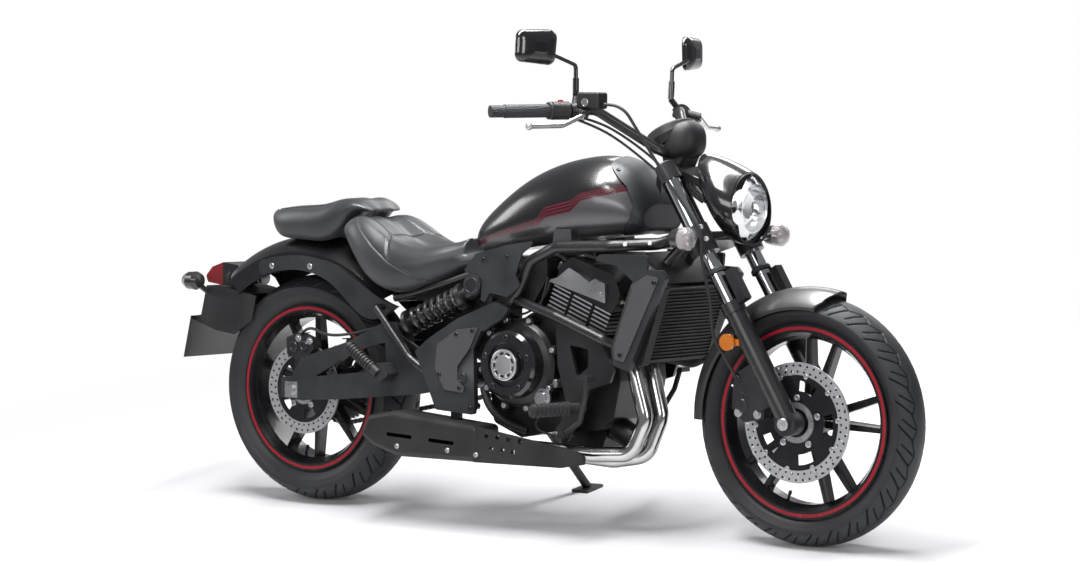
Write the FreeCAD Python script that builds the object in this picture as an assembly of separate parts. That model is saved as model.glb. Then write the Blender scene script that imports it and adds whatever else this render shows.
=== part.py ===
import FreeCAD, Part
import math
import os

# A cruiser motorcycle, leaning on its side stand. Lengths are in millimetres, angles in degrees.
# The pieces are drawn with the machine upright: X runs forward from the rear axle, Y to the rider's
# left and Z up from the ground. At the end every piece is leaned over and moved to the middle.

V = FreeCAD.Vector

# Stance
WHEELBASE = 1575.0
RAKE = 31.0
TRAIL = 120.0
LEAN = 9.0
REAR_OVERHANG = 424.0

# Tyres and rims
FRONT_TYRE_R = 312.6
FRONT_TYRE_W = 120.0
FRONT_BEAD_R = 228.6
FRONT_RIM_W = 92.0
REAR_TYRE_R = 311.9
REAR_TYRE_W = 160.0
REAR_BEAD_R = 215.9
REAR_RIM_W = 132.0
FLANGE_H = 13.0
FLANGE_T = 7.0
SPOKE_PAIRS = 5
CROWN_BANDS = 4
FRONT_CROWN_R = 67.5
REAR_CROWN_R = 111.0

# Clearances
FIT = 0.3
RUN = 0.5
TYRE_GAP = 8.0

# Brakes, chain and axles
FRONT_DISC_R = 150.0
REAR_DISC_R = 125.0
DISC_T = 5.0
FRONT_DISC_Y = -70.5
REAR_DISC_Y = -84.0
CHAIN_PITCH = 15.875
REAR_TEETH = 42
FRONT_TEETH = 15
CHAIN_Y = 97.0
CHAIN_W = 18.0
CHAIN_H = 15.0
AXLE_R = 10.0

# Fork, measured along the fork leg from the front axle
FORK_Y = 105.0
FORK_TUBE_R = 20.5
SLIDER_R = 27.0
SLIDER_TOP = 338.0
LOWER_CLAMP = (477.0, 553.0)
UPPER_CLAMP = (690.0, 735.0)
CLAMP_R = 33.0
CLAMP_PLATE_T = 26.0
STEM_R = 14.0
HEAD_R = 28.0

# Handlebar
BAR_R = 12.7
BAR_RISE = V(1164.0, 60.0, 973.0)
BAR_BEND = V(1046.0, 193.0, 1079.5)
BAR_END = V(897.0, 440.0, 1073.0)
GRIP_R = 17.0
GRIP_LEN = 165.0
BAR_WEIGHT_LEN = 38.0
MIRROR = V(969.0, 352.0, 1235.0)
MIRROR_BASE = V(1000.0, 217.0, 1112.0)
MIRROR_W = 134.0
MIRROR_H = 92.0

# Headlamp
LENS_R = 83.0
LENS_AT = V(1376.0, 0.0, 838.0)

# Frame and engine
TUBE_R = 15.0
LOW_TUBE_R = 13.0
HEAD_BOTTOM = 541.0
HEAD_TOP = 699.0
PIVOT = V(586.0, 0.0, 377.0)
ARM_Y = (110.0, 134.0)
PIVOT_PLATE_Y = (138.0, 150.0)
COVER_Y = (156.0, 172.0)
UPPER_COVER_OUT = 16.0
ENGINE_HALF_W = 105.0
CYLINDER_HALF_W = 118.0
CYLINDER_TILT = -21.5
FIN_T = 4.0
FIN_PITCH = 11.0
FIN_COUNT = 6
CRANK_COVER = V(774.0, 0.0, 422.0)
CRANK_COVER_R = 90.0
SPROCKET_CENTRE = V(682.0, 0.0, 385.0)
RADIATOR_HALF_W = 164.0
SHROUD_Y = (RADIATOR_HALF_W + FIT, 183.0)

# Exhaust
HEADER_R = 20.0
MUFFLER_Y = (-214.0, -108.0)
MUFFLER_FRONT = 695.0
MUFFLER_TOP = ((404.0, 281.0), (694.0, 258.0))

# Tank, seats and fenders
CAP_AT = V(884.0, 70.0, 933.0)
CAP_TILT = 26.0
CAP_R = 36.0
NECK_R = 24.0
FENDER_T = 4.0
FENDER_SHOULDER = 44.0
FENDER_FOOT = 352.0
FENDER_START = 44.0
FENDER_SWEEP = 84.0
REAR_FENDER_R = 446.0
REAR_FENDER_W = 194.0
REAR_FENDER_CENTRE = V(-12.0, 0.0, 286.0)
RAIL_Y = (REAR_FENDER_W / 2 + FIT, 113.0)
RAIL_FOOT = (300.0, 550.0)
RAIL_STAY = (V(300.0, 145.0, 550.0), V(415.0, 145.0, 420.0), V(565.0, 144.0, 330.0))
STAY_R = 9.0
SEAT_CROSS = (338.0, 574.0)
FRONT_FENDER_R = 335.0
FRONT_FENDER_W = 142.0

# Rear shock absorber
SHOCK_TOP = V(650.0, -110.0, 623.0)
SHOCK_FOOT = V(345.0, -110.0, 491.0)
SHOCK_EYE_W = 36.0
SHOCK_LUG_Y = SHOCK_TOP.y + SHOCK_EYE_W / 2 + FIT
SPRING_R = 29.0
SPRING_WIRE_R = 5.5
SPRING_TURNS = 7

# Side stand
STAND_PIVOT = V(640.0, 160.0, 238.0)
STAND_REACH = 312.0
STAND_AHEAD = 42.0
STAND_LEG_R = 12.0
STAND_FOOT = (52.0, 76.0, 8.0)
STAND_FOLDED = V(-0.99, 0.06, 0.10)

FRONT_AXLE = V(WHEELBASE, 0, FRONT_TYRE_R)
REAR_AXLE = V(0, 0, REAR_TYRE_R)
FORK_OFFSET = FRONT_TYRE_R * math.sin(math.radians(RAKE)) - TRAIL * math.cos(math.radians(RAKE))


# Drawing helpers

def box(x0, x1, y0, y1, z0, z1):
    return Part.makeBox(x1 - x0, y1 - y0, z1 - z0, V(x0, y0, z0))


def rod(start, end, radius):
    return Part.makeCylinder(radius, (end - start).Length, start, end - start)


def cross_rod(x, z, y0, y1, radius):
    """A round bar that lies across the machine."""
    return Part.makeCylinder(radius, y1 - y0, V(x, y0, z), V(0, 1, 0))


def rounded_edges(points, radius, closed):
    """Straight runs through the points, with each corner turned into a tangent arc."""
    count = len(points)
    stops = []
    for i, at in enumerate(points):
        if not closed and i in (0, count - 1):
            stops.append((at, None, at))
            continue
        back = (points[i - 1] - at).normalize()
        ahead = (points[(i + 1) % count] - at).normalize()
        half = back.getAngle(ahead) / 2
        if radius == 0 or abs(half - math.pi / 2) < 0.002:
            stops.append((at, None, at))
            continue
        reach = radius / math.tan(half)
        inward = (back + ahead).normalize()
        middle = at + inward * (radius / math.sin(half) - radius)
        stops.append((at + back * reach, middle, at + ahead * reach))
    edges = []
    for i, (enter, middle, leave) in enumerate(stops):
        if middle is not None:
            edges.append(Part.Arc(enter, middle, leave).toShape())
        if closed or i < count - 1:
            following = stops[(i + 1) % count][0]
            if leave.distanceToPoint(following) > 0.001:
                edges.append(Part.LineSegment(leave, following).toShape())
    return edges


def tube(points, radius, bend):
    path = Part.Wire(rounded_edges(points, bend, False))
    ring = Part.Wire(Part.makeCircle(radius, points[0], points[1] - points[0]))
    return path.makePipeShell([ring], True, False)


def flat(points, y, radius=0.0):
    """A face in the side view at one Y, from (x, z) points."""
    corners = [V(x, y, z) for x, z in points]
    return Part.Face(Part.Wire(rounded_edges(corners, radius, True)))


def slab(points, y0, y1, radius=0.0):
    return flat(points, y0, radius).extrude(V(0, y1 - y0, 0))


def spline(points):
    curve = Part.BSplineCurve()
    curve.interpolate(points)
    return curve.toShape()


def closed_spline(points):
    curve = Part.BSplineCurve()
    curve.interpolate(Points=points, PeriodicFlag=True)
    return Part.Wire(curve.toShape())


def loft(wires):
    return Part.makeLoft(wires, True, False)


def spun(profile, centre, start=0.0, sweep=360.0):
    """Turn a closed (y, radius) profile round an axle along Y."""
    corners = [V(centre.x + r, y, centre.z) for y, r in profile]
    face = Part.Face(Part.makePolygon(corners + corners[:1]))
    return turned(face, centre, start, sweep)


def turned(face, centre, start=0.0, sweep=360.0):
    """Angles run from straight ahead, upward: the Y axis turns the other way."""
    axis = V(0, -1, 0)
    face = face.copy()
    face.rotate(centre, axis, start)
    return face.revolve(centre, axis, sweep)


def mirrored(shape):
    return shape.mirror(V(0, 0, 0), V(0, 1, 0))


def both(*shapes):
    return list(shapes) + [mirrored(s) for s in shapes]


def fused(shapes):
    return shapes[0].multiFuse(shapes[1:]).removeSplitter()


def grown(shape):
    """The room that a shape takes with its seating gap all round."""
    return shape.makeOffsetShape(FIT, 0.01, join=2)


def fork_point(along, ahead=0.0, y=0.0):
    s, c = math.sin(math.radians(RAKE)), math.cos(math.radians(RAKE))
    return FRONT_AXLE + V(-s * along + c * ahead, y, c * along + s * ahead)


def on_fork(shape):
    """From fork axes, Z up the leg and X ahead of it, to the machine's axes."""
    shape = shape.copy()
    shape.rotate(V(0, 0, 0), V(0, 1, 0), -RAKE)
    shape.translate(FRONT_AXLE)
    return shape


# Wheels

def tyre(centre, radius, width, bead_r, rim_w, crown_r):
    """A crown of straight bands round one arc, side walls, and beads inside the flanges."""
    half = width / 2
    bead = rim_w / 2 - FLANGE_T - FIT
    lip = bead_r + FLANGE_H + 3
    edge = math.asin(half / crown_r)
    crown = []
    for i in range(CROWN_BANDS + 1):
        t = edge * (2 * i / CROWN_BANDS - 1)
        crown.append((crown_r * math.sin(t), radius - crown_r * (1 - math.cos(t))))
    side = [(bead, lip), (bead, bead_r + FIT)]
    mirror_side = [(-y, r) for y, r in reversed(side)]
    return spun(mirror_side + crown + side, centre)


def spoke(centre, angle, inner, outer, widths, depths):
    """One straight spoke with chamfered edges, tapering from hub to rim."""
    wires = []
    for r, width, depth in zip((inner, outer), widths, depths):
        w, d, c = width / 2, depth / 2, 4.0
        corners = [V(r, -d, c - w), V(r, c - d, -w), V(r, d - c, -w), V(r, d, c - w),
                   V(r, d, w - c), V(r, d - c, w), V(r, c - d, w), V(r, -d, w - c)]
        wires.append(Part.makePolygon(corners + corners[:1]))
    shape = Part.makeLoft(wires, True, True)
    shape.translate(centre)
    shape.rotate(centre, V(0, -1, 0), angle)
    return shape


def rim_ring(centre, bead_r, width):
    w, seat = width / 2, width / 2 - FLANGE_T
    lip = bead_r + FLANGE_H
    return spun([
        (-w, lip), (-seat, lip), (-seat, bead_r), (seat, bead_r), (seat, lip), (w, lip),
        (w, bead_r - 6), (w - 14, bead_r - 14), (w - 26, bead_r - 22),
        (-w + 26, bead_r - 22), (-w + 14, bead_r - 14), (-w, bead_r - 6)], centre)


def wheel(centre, bead_r, rim_w, phase, half_gap, hub, extras):
    inner, outer = 40.0, bead_r - 16
    spokes = [spoke(centre, phase + 72.0 * i + side * half_gap, inner, outer, (24, 17), (44, 34))
              for i in range(SPOKE_PAIRS) for side in (-1, 1)]
    body = fused([rim_ring(centre, bead_r, rim_w), spun(hub, centre)] + spokes + extras)
    bore = cross_rod(centre.x, centre.z, -200, 200, AXLE_R + FIT)
    return body.cut(bore)


def carrier(centre, y0, y1, outer, hub_r, slots, slot_r):
    """The slotted plate that joins a brake disc to the hub."""
    plate = spun([(y0, hub_r), (y1, hub_r), (y1, outer), (y0, outer)], centre)
    holes = []
    for i in range(slots):
        angle = 360.0 / slots * i
        inner_r, outer_r = slot_r - 13, slot_r + 13
        face = flat_ring_sector(centre, y0 - 1, inner_r, outer_r, angle, 30.0)
        holes.append(face.extrude(V(0, y1 - y0 + 2, 0)))
    return plate.cut(Part.makeCompound(holes))


def flat_ring_sector(centre, y, inner_r, outer_r, angle, sweep):
    a, m, b = (math.radians(angle + sweep * k) for k in (-0.5, 0.0, 0.5))

    def at(r, t):
        return V(centre.x + r * math.cos(t), y, centre.z + r * math.sin(t))

    edges = [
        Part.Arc(at(outer_r, a), at(outer_r, m), at(outer_r, b)).toShape(),
        Part.LineSegment(at(outer_r, b), at(inner_r, b)).toShape(),
        Part.Arc(at(inner_r, b), at(inner_r, m), at(inner_r, a)).toShape(),
        Part.LineSegment(at(inner_r, a), at(outer_r, a)).toShape(),
    ]
    return Part.Face(Part.Wire(edges))


def disc(centre, y, inner_r, outer_r, holes):
    ring = spun([(y - DISC_T / 2, inner_r), (y + DISC_T / 2, inner_r),
                 (y + DISC_T / 2, outer_r), (y - DISC_T / 2, outer_r)], centre)
    drills = []
    for i in range(holes):
        share = (i % 3) / 2
        r = inner_r + 7 + share * (outer_r - inner_r - 14)
        t = 2 * math.pi * i / holes
        x, z = centre.x + r * math.cos(t), centre.z + r * math.sin(t)
        drills.append(cross_rod(x, z, y - DISC_T, y + DISC_T, 2.6))
    return ring.cut(Part.makeCompound(drills))


def front_wheel():
    carrier_r = FRONT_DISC_R - 31
    face = FRONT_DISC_Y
    hub = [(-62, 0), (62, 0), (62, 26), (30, 30), (24, 44), (-24, 44), (-40, 52), (-62, 52)]
    plate = carrier(FRONT_AXLE, face - 3, face + 3, carrier_r - FIT, 20.0, 5, 92.0)
    boss = spun([(face - 3, 20), (-60, 20), (-60, 50), (face - 3, 50)], FRONT_AXLE)
    save("front_tyre", [tyre(FRONT_AXLE, FRONT_TYRE_R, FRONT_TYRE_W, FRONT_BEAD_R, FRONT_RIM_W, FRONT_CROWN_R)])
    save("front_rim", [wheel(FRONT_AXLE, FRONT_BEAD_R, FRONT_RIM_W, 8.0, 10.7, hub, [plate, boss])])
    save("front_disc", [disc(FRONT_AXLE, face, carrier_r, FRONT_DISC_R, 45)])


def rear_wheel():
    carrier_r = REAR_DISC_R - 31
    face = REAR_DISC_Y
    cush = CHAIN_Y - 4 - FIT
    hub = [(face + 3, 0), (cush, 0), (cush, 58), (40, 70), (24, 60), (-24, 50), (-50, 50), (face + 3, 46)]
    plate = carrier(REAR_AXLE, face - 3, face + 3, carrier_r - FIT, 20.0, 5, 70.0)
    save("rear_tyre", [tyre(REAR_AXLE, REAR_TYRE_R, REAR_TYRE_W, REAR_BEAD_R, REAR_RIM_W, REAR_CROWN_R)])
    save("rear_rim", [wheel(REAR_AXLE, REAR_BEAD_R, REAR_RIM_W, 36.0, 14.5, hub, [plate])])
    save("rear_disc", [disc(REAR_AXLE, face, carrier_r, REAR_DISC_R, 36)])
    save("rear_sprocket", [sprocket(REAR_AXLE, REAR_TEETH)])


# Final drive

def pitch_radius(teeth):
    return CHAIN_PITCH / (2 * math.sin(math.pi / teeth))


def sprocket(centre, teeth):
    """Its teeth end just inside the chain's inner edge, so that it turns freely."""
    tip = pitch_radius(teeth) - CHAIN_H / 2 - RUN
    root = tip - 6
    points = []
    for i in range(teeth):
        for share, r in ((0.0, root), (0.32, root), (0.5, tip), (0.82, tip)):
            t = 2 * math.pi * (i + share) / teeth
            points.append((centre.x + r * math.cos(t), centre.z + r * math.sin(t)))
    plate = slab(points, CHAIN_Y - 4, CHAIN_Y + 4)
    windows = [cross_rod(centre.x + 66 * math.cos(t), centre.z + 66 * math.sin(t),
                         CHAIN_Y - 5, CHAIN_Y + 5, 13.0)
               for t in (2 * math.pi * i / 6 for i in range(6))]
    bore = cross_rod(centre.x, centre.z, CHAIN_Y - 5, CHAIN_Y + 5, AXLE_R + FIT)
    return plate.cut(Part.makeCompound(windows + [bore]))


def loop_wire(grow, y):
    """The chain's line round both sprockets, grown by an offset."""
    big, small = pitch_radius(REAR_TEETH) + grow, pitch_radius(FRONT_TEETH) + grow
    a, b = REAR_AXLE, SPROCKET_CENTRE
    reach = math.hypot(b.x - a.x, b.z - a.z)
    line = math.atan2(b.z - a.z, b.x - a.x)
    open_angle = math.acos((big - small) / reach)

    def at(centre, r, t):
        return V(centre.x + r * math.cos(t), y, centre.z + r * math.sin(t))

    top, low = line + open_angle, line - open_angle
    return Part.Wire([
        Part.LineSegment(at(a, big, top), at(b, small, top)).toShape(),
        Part.Arc(at(b, small, top), at(b, small, line), at(b, small, low)).toShape(),
        Part.LineSegment(at(b, small, low), at(a, big, low)).toShape(),
        Part.Arc(at(a, big, low), at(a, big, line + math.pi), at(a, big, top)).toShape(),
    ])


def chain():
    y = CHAIN_Y - CHAIN_W / 2
    outer = Part.Face(loop_wire(CHAIN_H / 2, y)).extrude(V(0, CHAIN_W, 0))
    inner = Part.Face(loop_wire(-CHAIN_H / 2, y - 1)).extrude(V(0, CHAIN_W + 2, 0))
    save("chain", [outer.cut(inner)])


def chain_guard():
    """A thin guard over the chain's upper run, fixed to the inner face of the swingarm."""
    z = REAR_AXLE.z + pitch_radius(REAR_TEETH) + CHAIN_H / 2
    side = slab([(-16, z - 20), (-6, z + 16), (110, z + 24), (400, z + 22), (418, z + 8), (400, z - 44),
                 (372, z - 44), (350, z + 2), (120, z + 4), (86, z - 64), (58, z - 64), (40, z - 10)],
                ARM_Y[0] - FIT - 2.5, ARM_Y[0] - FIT, 4)
    roof = slab([(-6, z + 13), (110, z + 21), (400, z + 19), (400, z + 22), (110, z + 24), (-6, z + 16)],
                CHAIN_Y - 11, ARM_Y[0] - FIT - 1)
    save("chain_guard", [fused([side, roof])])


# Fork and steering

def legs(shape):
    """One piece of the fork, drawn on the middle line, on both legs."""
    pair = []
    for side in (-1, 1):
        leg = shape.copy()
        leg.translate(V(0, side * FORK_Y, 0))
        pair.append(on_fork(leg))
    return pair


def fork():
    tube_top = UPPER_CLAMP[1] - 2
    save("fork_tubes", legs(rod(V(0, 0, SLIDER_TOP), V(0, 0, tube_top), FORK_TUBE_R)))
    barrel = rod(V(0, 0, -8), V(0, 0, SLIDER_TOP), SLIDER_R)
    collar = rod(V(0, 0, SLIDER_TOP - 28), V(0, 0, SLIDER_TOP), SLIDER_R + 3)
    foot = Part.makeCylinder(30, 2 * SLIDER_R - 6, V(0, -SLIDER_R + 3, 0), V(0, 1, 0))
    guard = box(24, 52, -15, 15, SLIDER_TOP - 12, SLIDER_TOP + 74)
    guard = guard.cut(rod(V(0, 0, 0), V(0, 0, 2 * SLIDER_TOP), SLIDER_R + 6))
    guard = guard.fuse(box(20, 48, -15, 15, SLIDER_TOP - 14, SLIDER_TOP - 1))
    slider = fused([barrel, collar, foot, guard])
    left, right = legs(slider)
    lugs = []
    for side in (-1, 1):
        inner = FRONT_FENDER_W / 2 + FIT
        y0, y1 = sorted((side * inner, side * (FORK_Y - 15)))
        lugs.append(on_fork(box(-12, 16, y0, y1, 262, 300)))
    mount = on_fork(box(-62, -10, -FORK_Y - 12, -FORK_Y + 8, 62, 178))
    axle = cross_rod(FRONT_AXLE.x, FRONT_AXLE.z, -FORK_Y - 32, FORK_Y + 32, AXLE_R)
    save("fork_sliders", [fused([left, right, axle, mount] + lugs)])


def clamps():
    """Both triple clamps with the steering stem between them, and the two bar risers."""
    holes = [rod(V(0, side * FORK_Y, 400), V(0, side * FORK_Y, 800), FORK_TUBE_R + FIT)
             for side in (-1, 1)]
    solids = []
    for low, high, radius in ((LOWER_CLAMP[0], LOWER_CLAMP[1], CLAMP_R),
                              (UPPER_CLAMP[0], UPPER_CLAMP[1], CLAMP_R - 5)):
        solids += [rod(V(0, side * FORK_Y, low), V(0, side * FORK_Y, high), radius) for side in (-1, 1)]
    solids.append(bridge(HEAD_BOTTOM - 1 - CLAMP_PLATE_T, HEAD_BOTTOM - 1))
    solids.append(bridge(HEAD_TOP + 1, UPPER_CLAMP[1] - 6))
    solids.append(rod(V(-FORK_OFFSET, 0, HEAD_BOTTOM - CLAMP_PLATE_T), V(-FORK_OFFSET, 0, UPPER_CLAMP[1] + 4),
                      STEM_R))
    body = on_fork(fused(solids).cut(Part.makeCompound(holes)))
    risers = [riser(side) for side in (-1, 1)]
    bar = rod(V(BAR_RISE.x, -100, BAR_RISE.z), V(BAR_RISE.x, 100, BAR_RISE.z), BAR_R + FIT)
    save("triple_clamps", [fused([body] + risers + lamp_stays()).cut(bar)])


def bridge(low, high):
    side, back = FORK_Y, -FORK_OFFSET - 30
    outline = [V(-30, -side, low), V(back, -34, low), V(back, 34, low), V(-30, side, low),
               V(26, side, low), V(4, 40, low), V(4, -40, low), V(26, -side, low)]
    return Part.Face(Part.Wire(rounded_edges(outline, 8, True))).extrude(V(0, 0, high - low))


def riser(side):
    """A post from the upper clamp to the handlebar."""
    foot = fork_point(UPPER_CLAMP[1] - 10, -30)
    y = side * 24.0
    outline = [(foot.x - 20, foot.z - 6), (BAR_RISE.x - 22, BAR_RISE.z - 4), (BAR_RISE.x - 14, BAR_RISE.z + 20),
               (BAR_RISE.x + 16, BAR_RISE.z + 20), (BAR_RISE.x + 22, BAR_RISE.z - 4), (foot.x + 26, foot.z + 8)]
    return slab(outline, y - 12, y + 12, 5)


def lamp_stays():
    """Arms from the upper clamp and the lower clamp forward to the lamp cowl's back."""
    arms = []
    for side in (-1, 1):
        y0, y1 = sorted((side * 52, side * 64))
        arms.append(slab([(1212, 930), (1286, 906), (1290, 890), (1216, 908)], y0, y1, 4))
        arms.append(slab([(1294, 774), (1352, 778), (1354, 766), (1302, 756)], y0, y1, 3))
    return arms


def handlebar():
    points = [mirror_y(BAR_END), mirror_y(BAR_BEND), mirror_y(BAR_RISE), BAR_RISE, BAR_BEND, BAR_END]
    save("handlebar", [tube(points, BAR_R, 42.0)])
    inward = (BAR_BEND - BAR_END).normalize()
    weight_end = BAR_END + inward * BAR_WEIGHT_LEN
    grip_end = weight_end + inward * (GRIP_LEN - BAR_WEIGHT_LEN)
    bore = tube(points, BAR_R + FIT, 42.0)
    grip = rod(weight_end, grip_end, GRIP_R).cut(bore)
    flange = rod(grip_end - inward * 8, grip_end, GRIP_R + 5).cut(bore)
    weight = rod(BAR_END, weight_end - inward * 1, GRIP_R - 1.5).cut(bore)
    save("grips", both(fused([grip, flange]), weight))
    controls(grip_end, inward, bore)


def mirror_y(point):
    return V(point.x, -point.y, point.z)


def controls(grip_end, inward, bore):
    """Switch case, lever perch and lever each side, with the brake fluid box on the right."""
    switch = rod(grip_end + inward * 1, grip_end + inward * 46, 23).cut(bore)
    perch_at = grip_end + inward * 66
    perch = rod(perch_at - inward * 14, perch_at + inward * 14, 19)
    arm = rod(perch_at, perch_at + V(46, 22, -12), 11)
    pivot = perch_at + V(46, 22, -12)
    tip = V(1010, 430, 1037)
    bend = V(1040, 330, 1040)
    lever = tube([pivot + V(-4, 0, 0), bend, tip], 6.5, 30.0)
    knob = Part.makeSphere(9.5, tip)
    post_foot = perch_at + V(-6, -4, 8)
    post = rod(post_foot, MIRROR_BASE, 8)
    left = fused([perch, arm, post]).cut(bore)
    blade = fused([lever, knob]).cut(grown(arm))
    box_at = perch_at + V(46, -8, 20)
    reservoir = Part.makeBox(68, 44, 42, box_at + V(-34, -22, -16))
    reservoir = reservoir.makeFillet(6, reservoir.Edges)
    right = mirrored(left).fuse(mirrored(reservoir))
    save("bar_controls", [switch, mirrored(switch), left, right.removeSplitter().cut(bore)])
    save("levers", both(blade))
    mirrors(post_foot)


def mirrors(post_foot):
    """Each mirror stands on the perch's post, with a thin bent stem and a rounded shell."""
    lift = (MIRROR_BASE - post_foot).normalize()
    post_room = rod(post_foot, MIRROR_BASE + lift * FIT, 14)
    sleeve_top = V(1001, 219, 1160)
    knee = V(1001, 220, 1193)
    behind = MIRROR + V(20, 0, -6)
    stem = fused([rod(MIRROR_BASE, sleeve_top, 8).cut(post_room), tube([sleeve_top - V(0, 0, 4), knee, behind], 5.5, 14.0)])
    shell = mirror_shell()
    save("mirrors", both(fused([stem, shell])))


def mirror_shell():
    """Drawn facing back, then turned so that its glass faces the rider a little."""
    wires = []
    for x, scale in ((0, 1.0), (10, 0.98), (20, 0.72), (25, 0.3)):
        w, h = MIRROR_W / 2 * scale, MIRROR_H / 2 * scale
        corners = [V(x, -w * 0.86, -h), V(x, w, -h * 0.8), V(x, w * 0.94, h * 0.9), V(x, -w, h)]
        wires.append(Part.Wire(rounded_edges(corners, 22 * scale, True)))
    shape = loft(wires)
    shape.rotate(V(0, 0, 0), V(0, 0, 1), 14.0)
    shape.translate(MIRROR)
    return shape


def lamp_cowl():
    """A bowl round the lamp: its back edge follows the fork and its rim stands nearly upright."""
    stations = ((1301, 864, 119, 84, 24), (1332, 856, 113, 99, 17), (1362, 846, 103, 101, 10),
                (1390, 835, 94, 96, 4))
    outer = loft([cowl_section(*station) for station in stations])
    inner = loft([cowl_section(x + 8, z, h - 6, w - 6, tilt) for x, z, h, w, tilt in stations])
    stays = Part.makeCompound([grown(s) for s in lamp_stays()])
    bezel = lamp_dome([(-5, LENS_R + FIT), (-5, 120), (8, 120), (8, LENS_R + FIT)])
    save("headlight_cowl", [outer.cut(inner).fuse(bezel.common(outer)).cut(stays)])
    lens = [(0, 0), (0, LENS_R), (5, LENS_R), (24, LENS_R * 0.74), (34, LENS_R * 0.4), (38, 0)]
    save("headlight_lens", [lamp_dome(lens)])


def cowl_section(x, z, half_h, half_w, tilt):
    """An upright ring, squarer than an ellipse at its foot, leaned back by the tilt."""
    points = []
    for i in range(12):
        t = 2 * math.pi * i / 12
        points.append(V(0, half_w * math.cos(t), half_h * math.sin(t)))
    wire = closed_spline(points)
    wire.rotate(V(0, 0, 0), V(0, 1, 0), -tilt)
    wire.translate(V(x, 0, z))
    return wire


def lamp_dome(profile):
    corners = [V(a, 0, r) for a, r in profile]
    face = Part.Face(Part.makePolygon(corners + corners[:1]))
    dome = face.revolve(V(0, 0, 0), V(1, 0, 0), 360)
    dome.rotate(V(0, 0, 0), V(0, 1, 0), 2.0)
    dome.translate(LENS_AT)
    return dome


def instrument():
    """A round dial facing up to the rider, with its housing in front, on the upper clamp."""
    face_at = V(1143, 0, 1028)
    profile = [(4, 0), (4, 56), (8, 60), (3, 66), (-14, 68), (-34, 62), (-36, 0)]
    corners = [V(0, r, a) for a, r in profile]
    dial = Part.Face(Part.makePolygon(corners + corners[:1])).revolve(V(0, 0, 0), V(0, 0, 1), 360)
    dial.rotate(V(0, 0, 0), V(0, 1, 0), -28.0)
    dial.translate(face_at)
    heel, toe = (fork_point(UPPER_CLAMP[1] - 6 + FIT, ahead) for ahead in (-14, 4))
    outline = [(1150, 1020), (1164, 1053), (1188, 1053), (1227, 1000), (1216, 966), (toe.x, toe.z),
               (heel.x, heel.z), (1188, 976), (1172, 996)]
    middle = V(1190, 0, 990)
    wires = []
    for y, share in ((-38, 0.8), (-28, 1.0), (28, 1.0), (38, 0.8)):
        corners = [V(x, y, z) for x, z in outline]
        corners = [V(middle.x + (c.x - middle.x) * share, y, middle.z + (c.z - middle.z) * share) for c in corners]
        wires.append(Part.Wire(rounded_edges(corners, 5 * share, True)))
    hood = Part.makeLoft(wires, True, True)
    risers = [grown(riser(side)) for side in (-1, 1)]
    bar = cross_rod(BAR_RISE.x, BAR_RISE.z, -80, 80, BAR_R + FIT)
    save("instrument_pod", [fused([dial, hood]).cut(Part.makeCompound(risers + [bar]))])


def front_signals():
    body = [(0, 0), (-2, 14), (-14, 23), (-40, 28), (-56, 28), (-66, 20), (-70, 0)]
    at = V(1290, 220, 763)
    corners = [V(at.x - a, at.y, at.z + r) for a, r in body]
    bullet = Part.Face(Part.makePolygon(corners + corners[:1])).revolve(at, V(1, 0, 0), 360)
    stalk_root = fork_point((LOWER_CLAMP[0] + LOWER_CLAMP[1]) / 2, 8, FORK_Y + CLAMP_R - 1)
    stalk = rod(V(stalk_root.x, stalk_root.y, stalk_root.z), V(at.x + 36, at.y, at.z), 8)
    sleeve = on_fork(rod(V(0, FORK_Y, 400), V(0, FORK_Y, 600), CLAMP_R + FIT))
    save("front_signals", both(fused([bullet, stalk]).cut(sleeve)))


def front_fender():
    """A band round the tyre with rolled sides, from behind the wheel to its blunt front tip."""
    half, r, t = FRONT_FENDER_W / 2, FRONT_FENDER_R, 3.0
    skirt = 279.0

    def at(y, radius):
        return V(FRONT_AXLE.x + radius, y, FRONT_AXLE.z)

    outer = Part.Arc(at(-half, skirt + 8), at(0, r), at(half, skirt + 8)).toShape()
    inner = Part.Arc(at(half - t, skirt + 8), at(0, r - t), at(t - half, skirt + 8)).toShape()
    edges = [outer,
             Part.LineSegment(at(half, skirt + 8), at(half, skirt)).toShape(),
             Part.LineSegment(at(half, skirt), at(half - t, skirt)).toShape(),
             Part.LineSegment(at(half - t, skirt), at(half - t, skirt + 8)).toShape(),
             inner,
             Part.LineSegment(at(t - half, skirt + 8), at(t - half, skirt)).toShape(),
             Part.LineSegment(at(t - half, skirt), at(-half, skirt)).toShape(),
             Part.LineSegment(at(-half, skirt), at(-half, skirt + 8)).toShape()]
    band = turned(Part.Face(Part.Wire(edges)), FRONT_AXLE, 74.0, 108.0)
    nose = [V(1200, -80, 0), V(1596, -80, 0), V(1634, -60, 0), V(1655, -28, 0),
            V(1655, 28, 0), V(1634, 60, 0), V(1596, 80, 0), V(1200, 80, 0)]
    plan = Part.Face(Part.Wire(rounded_edges(nose, 12, True))).extrude(V(0, 0, 700))
    save("front_fender", [band.common(plan)])


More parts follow.
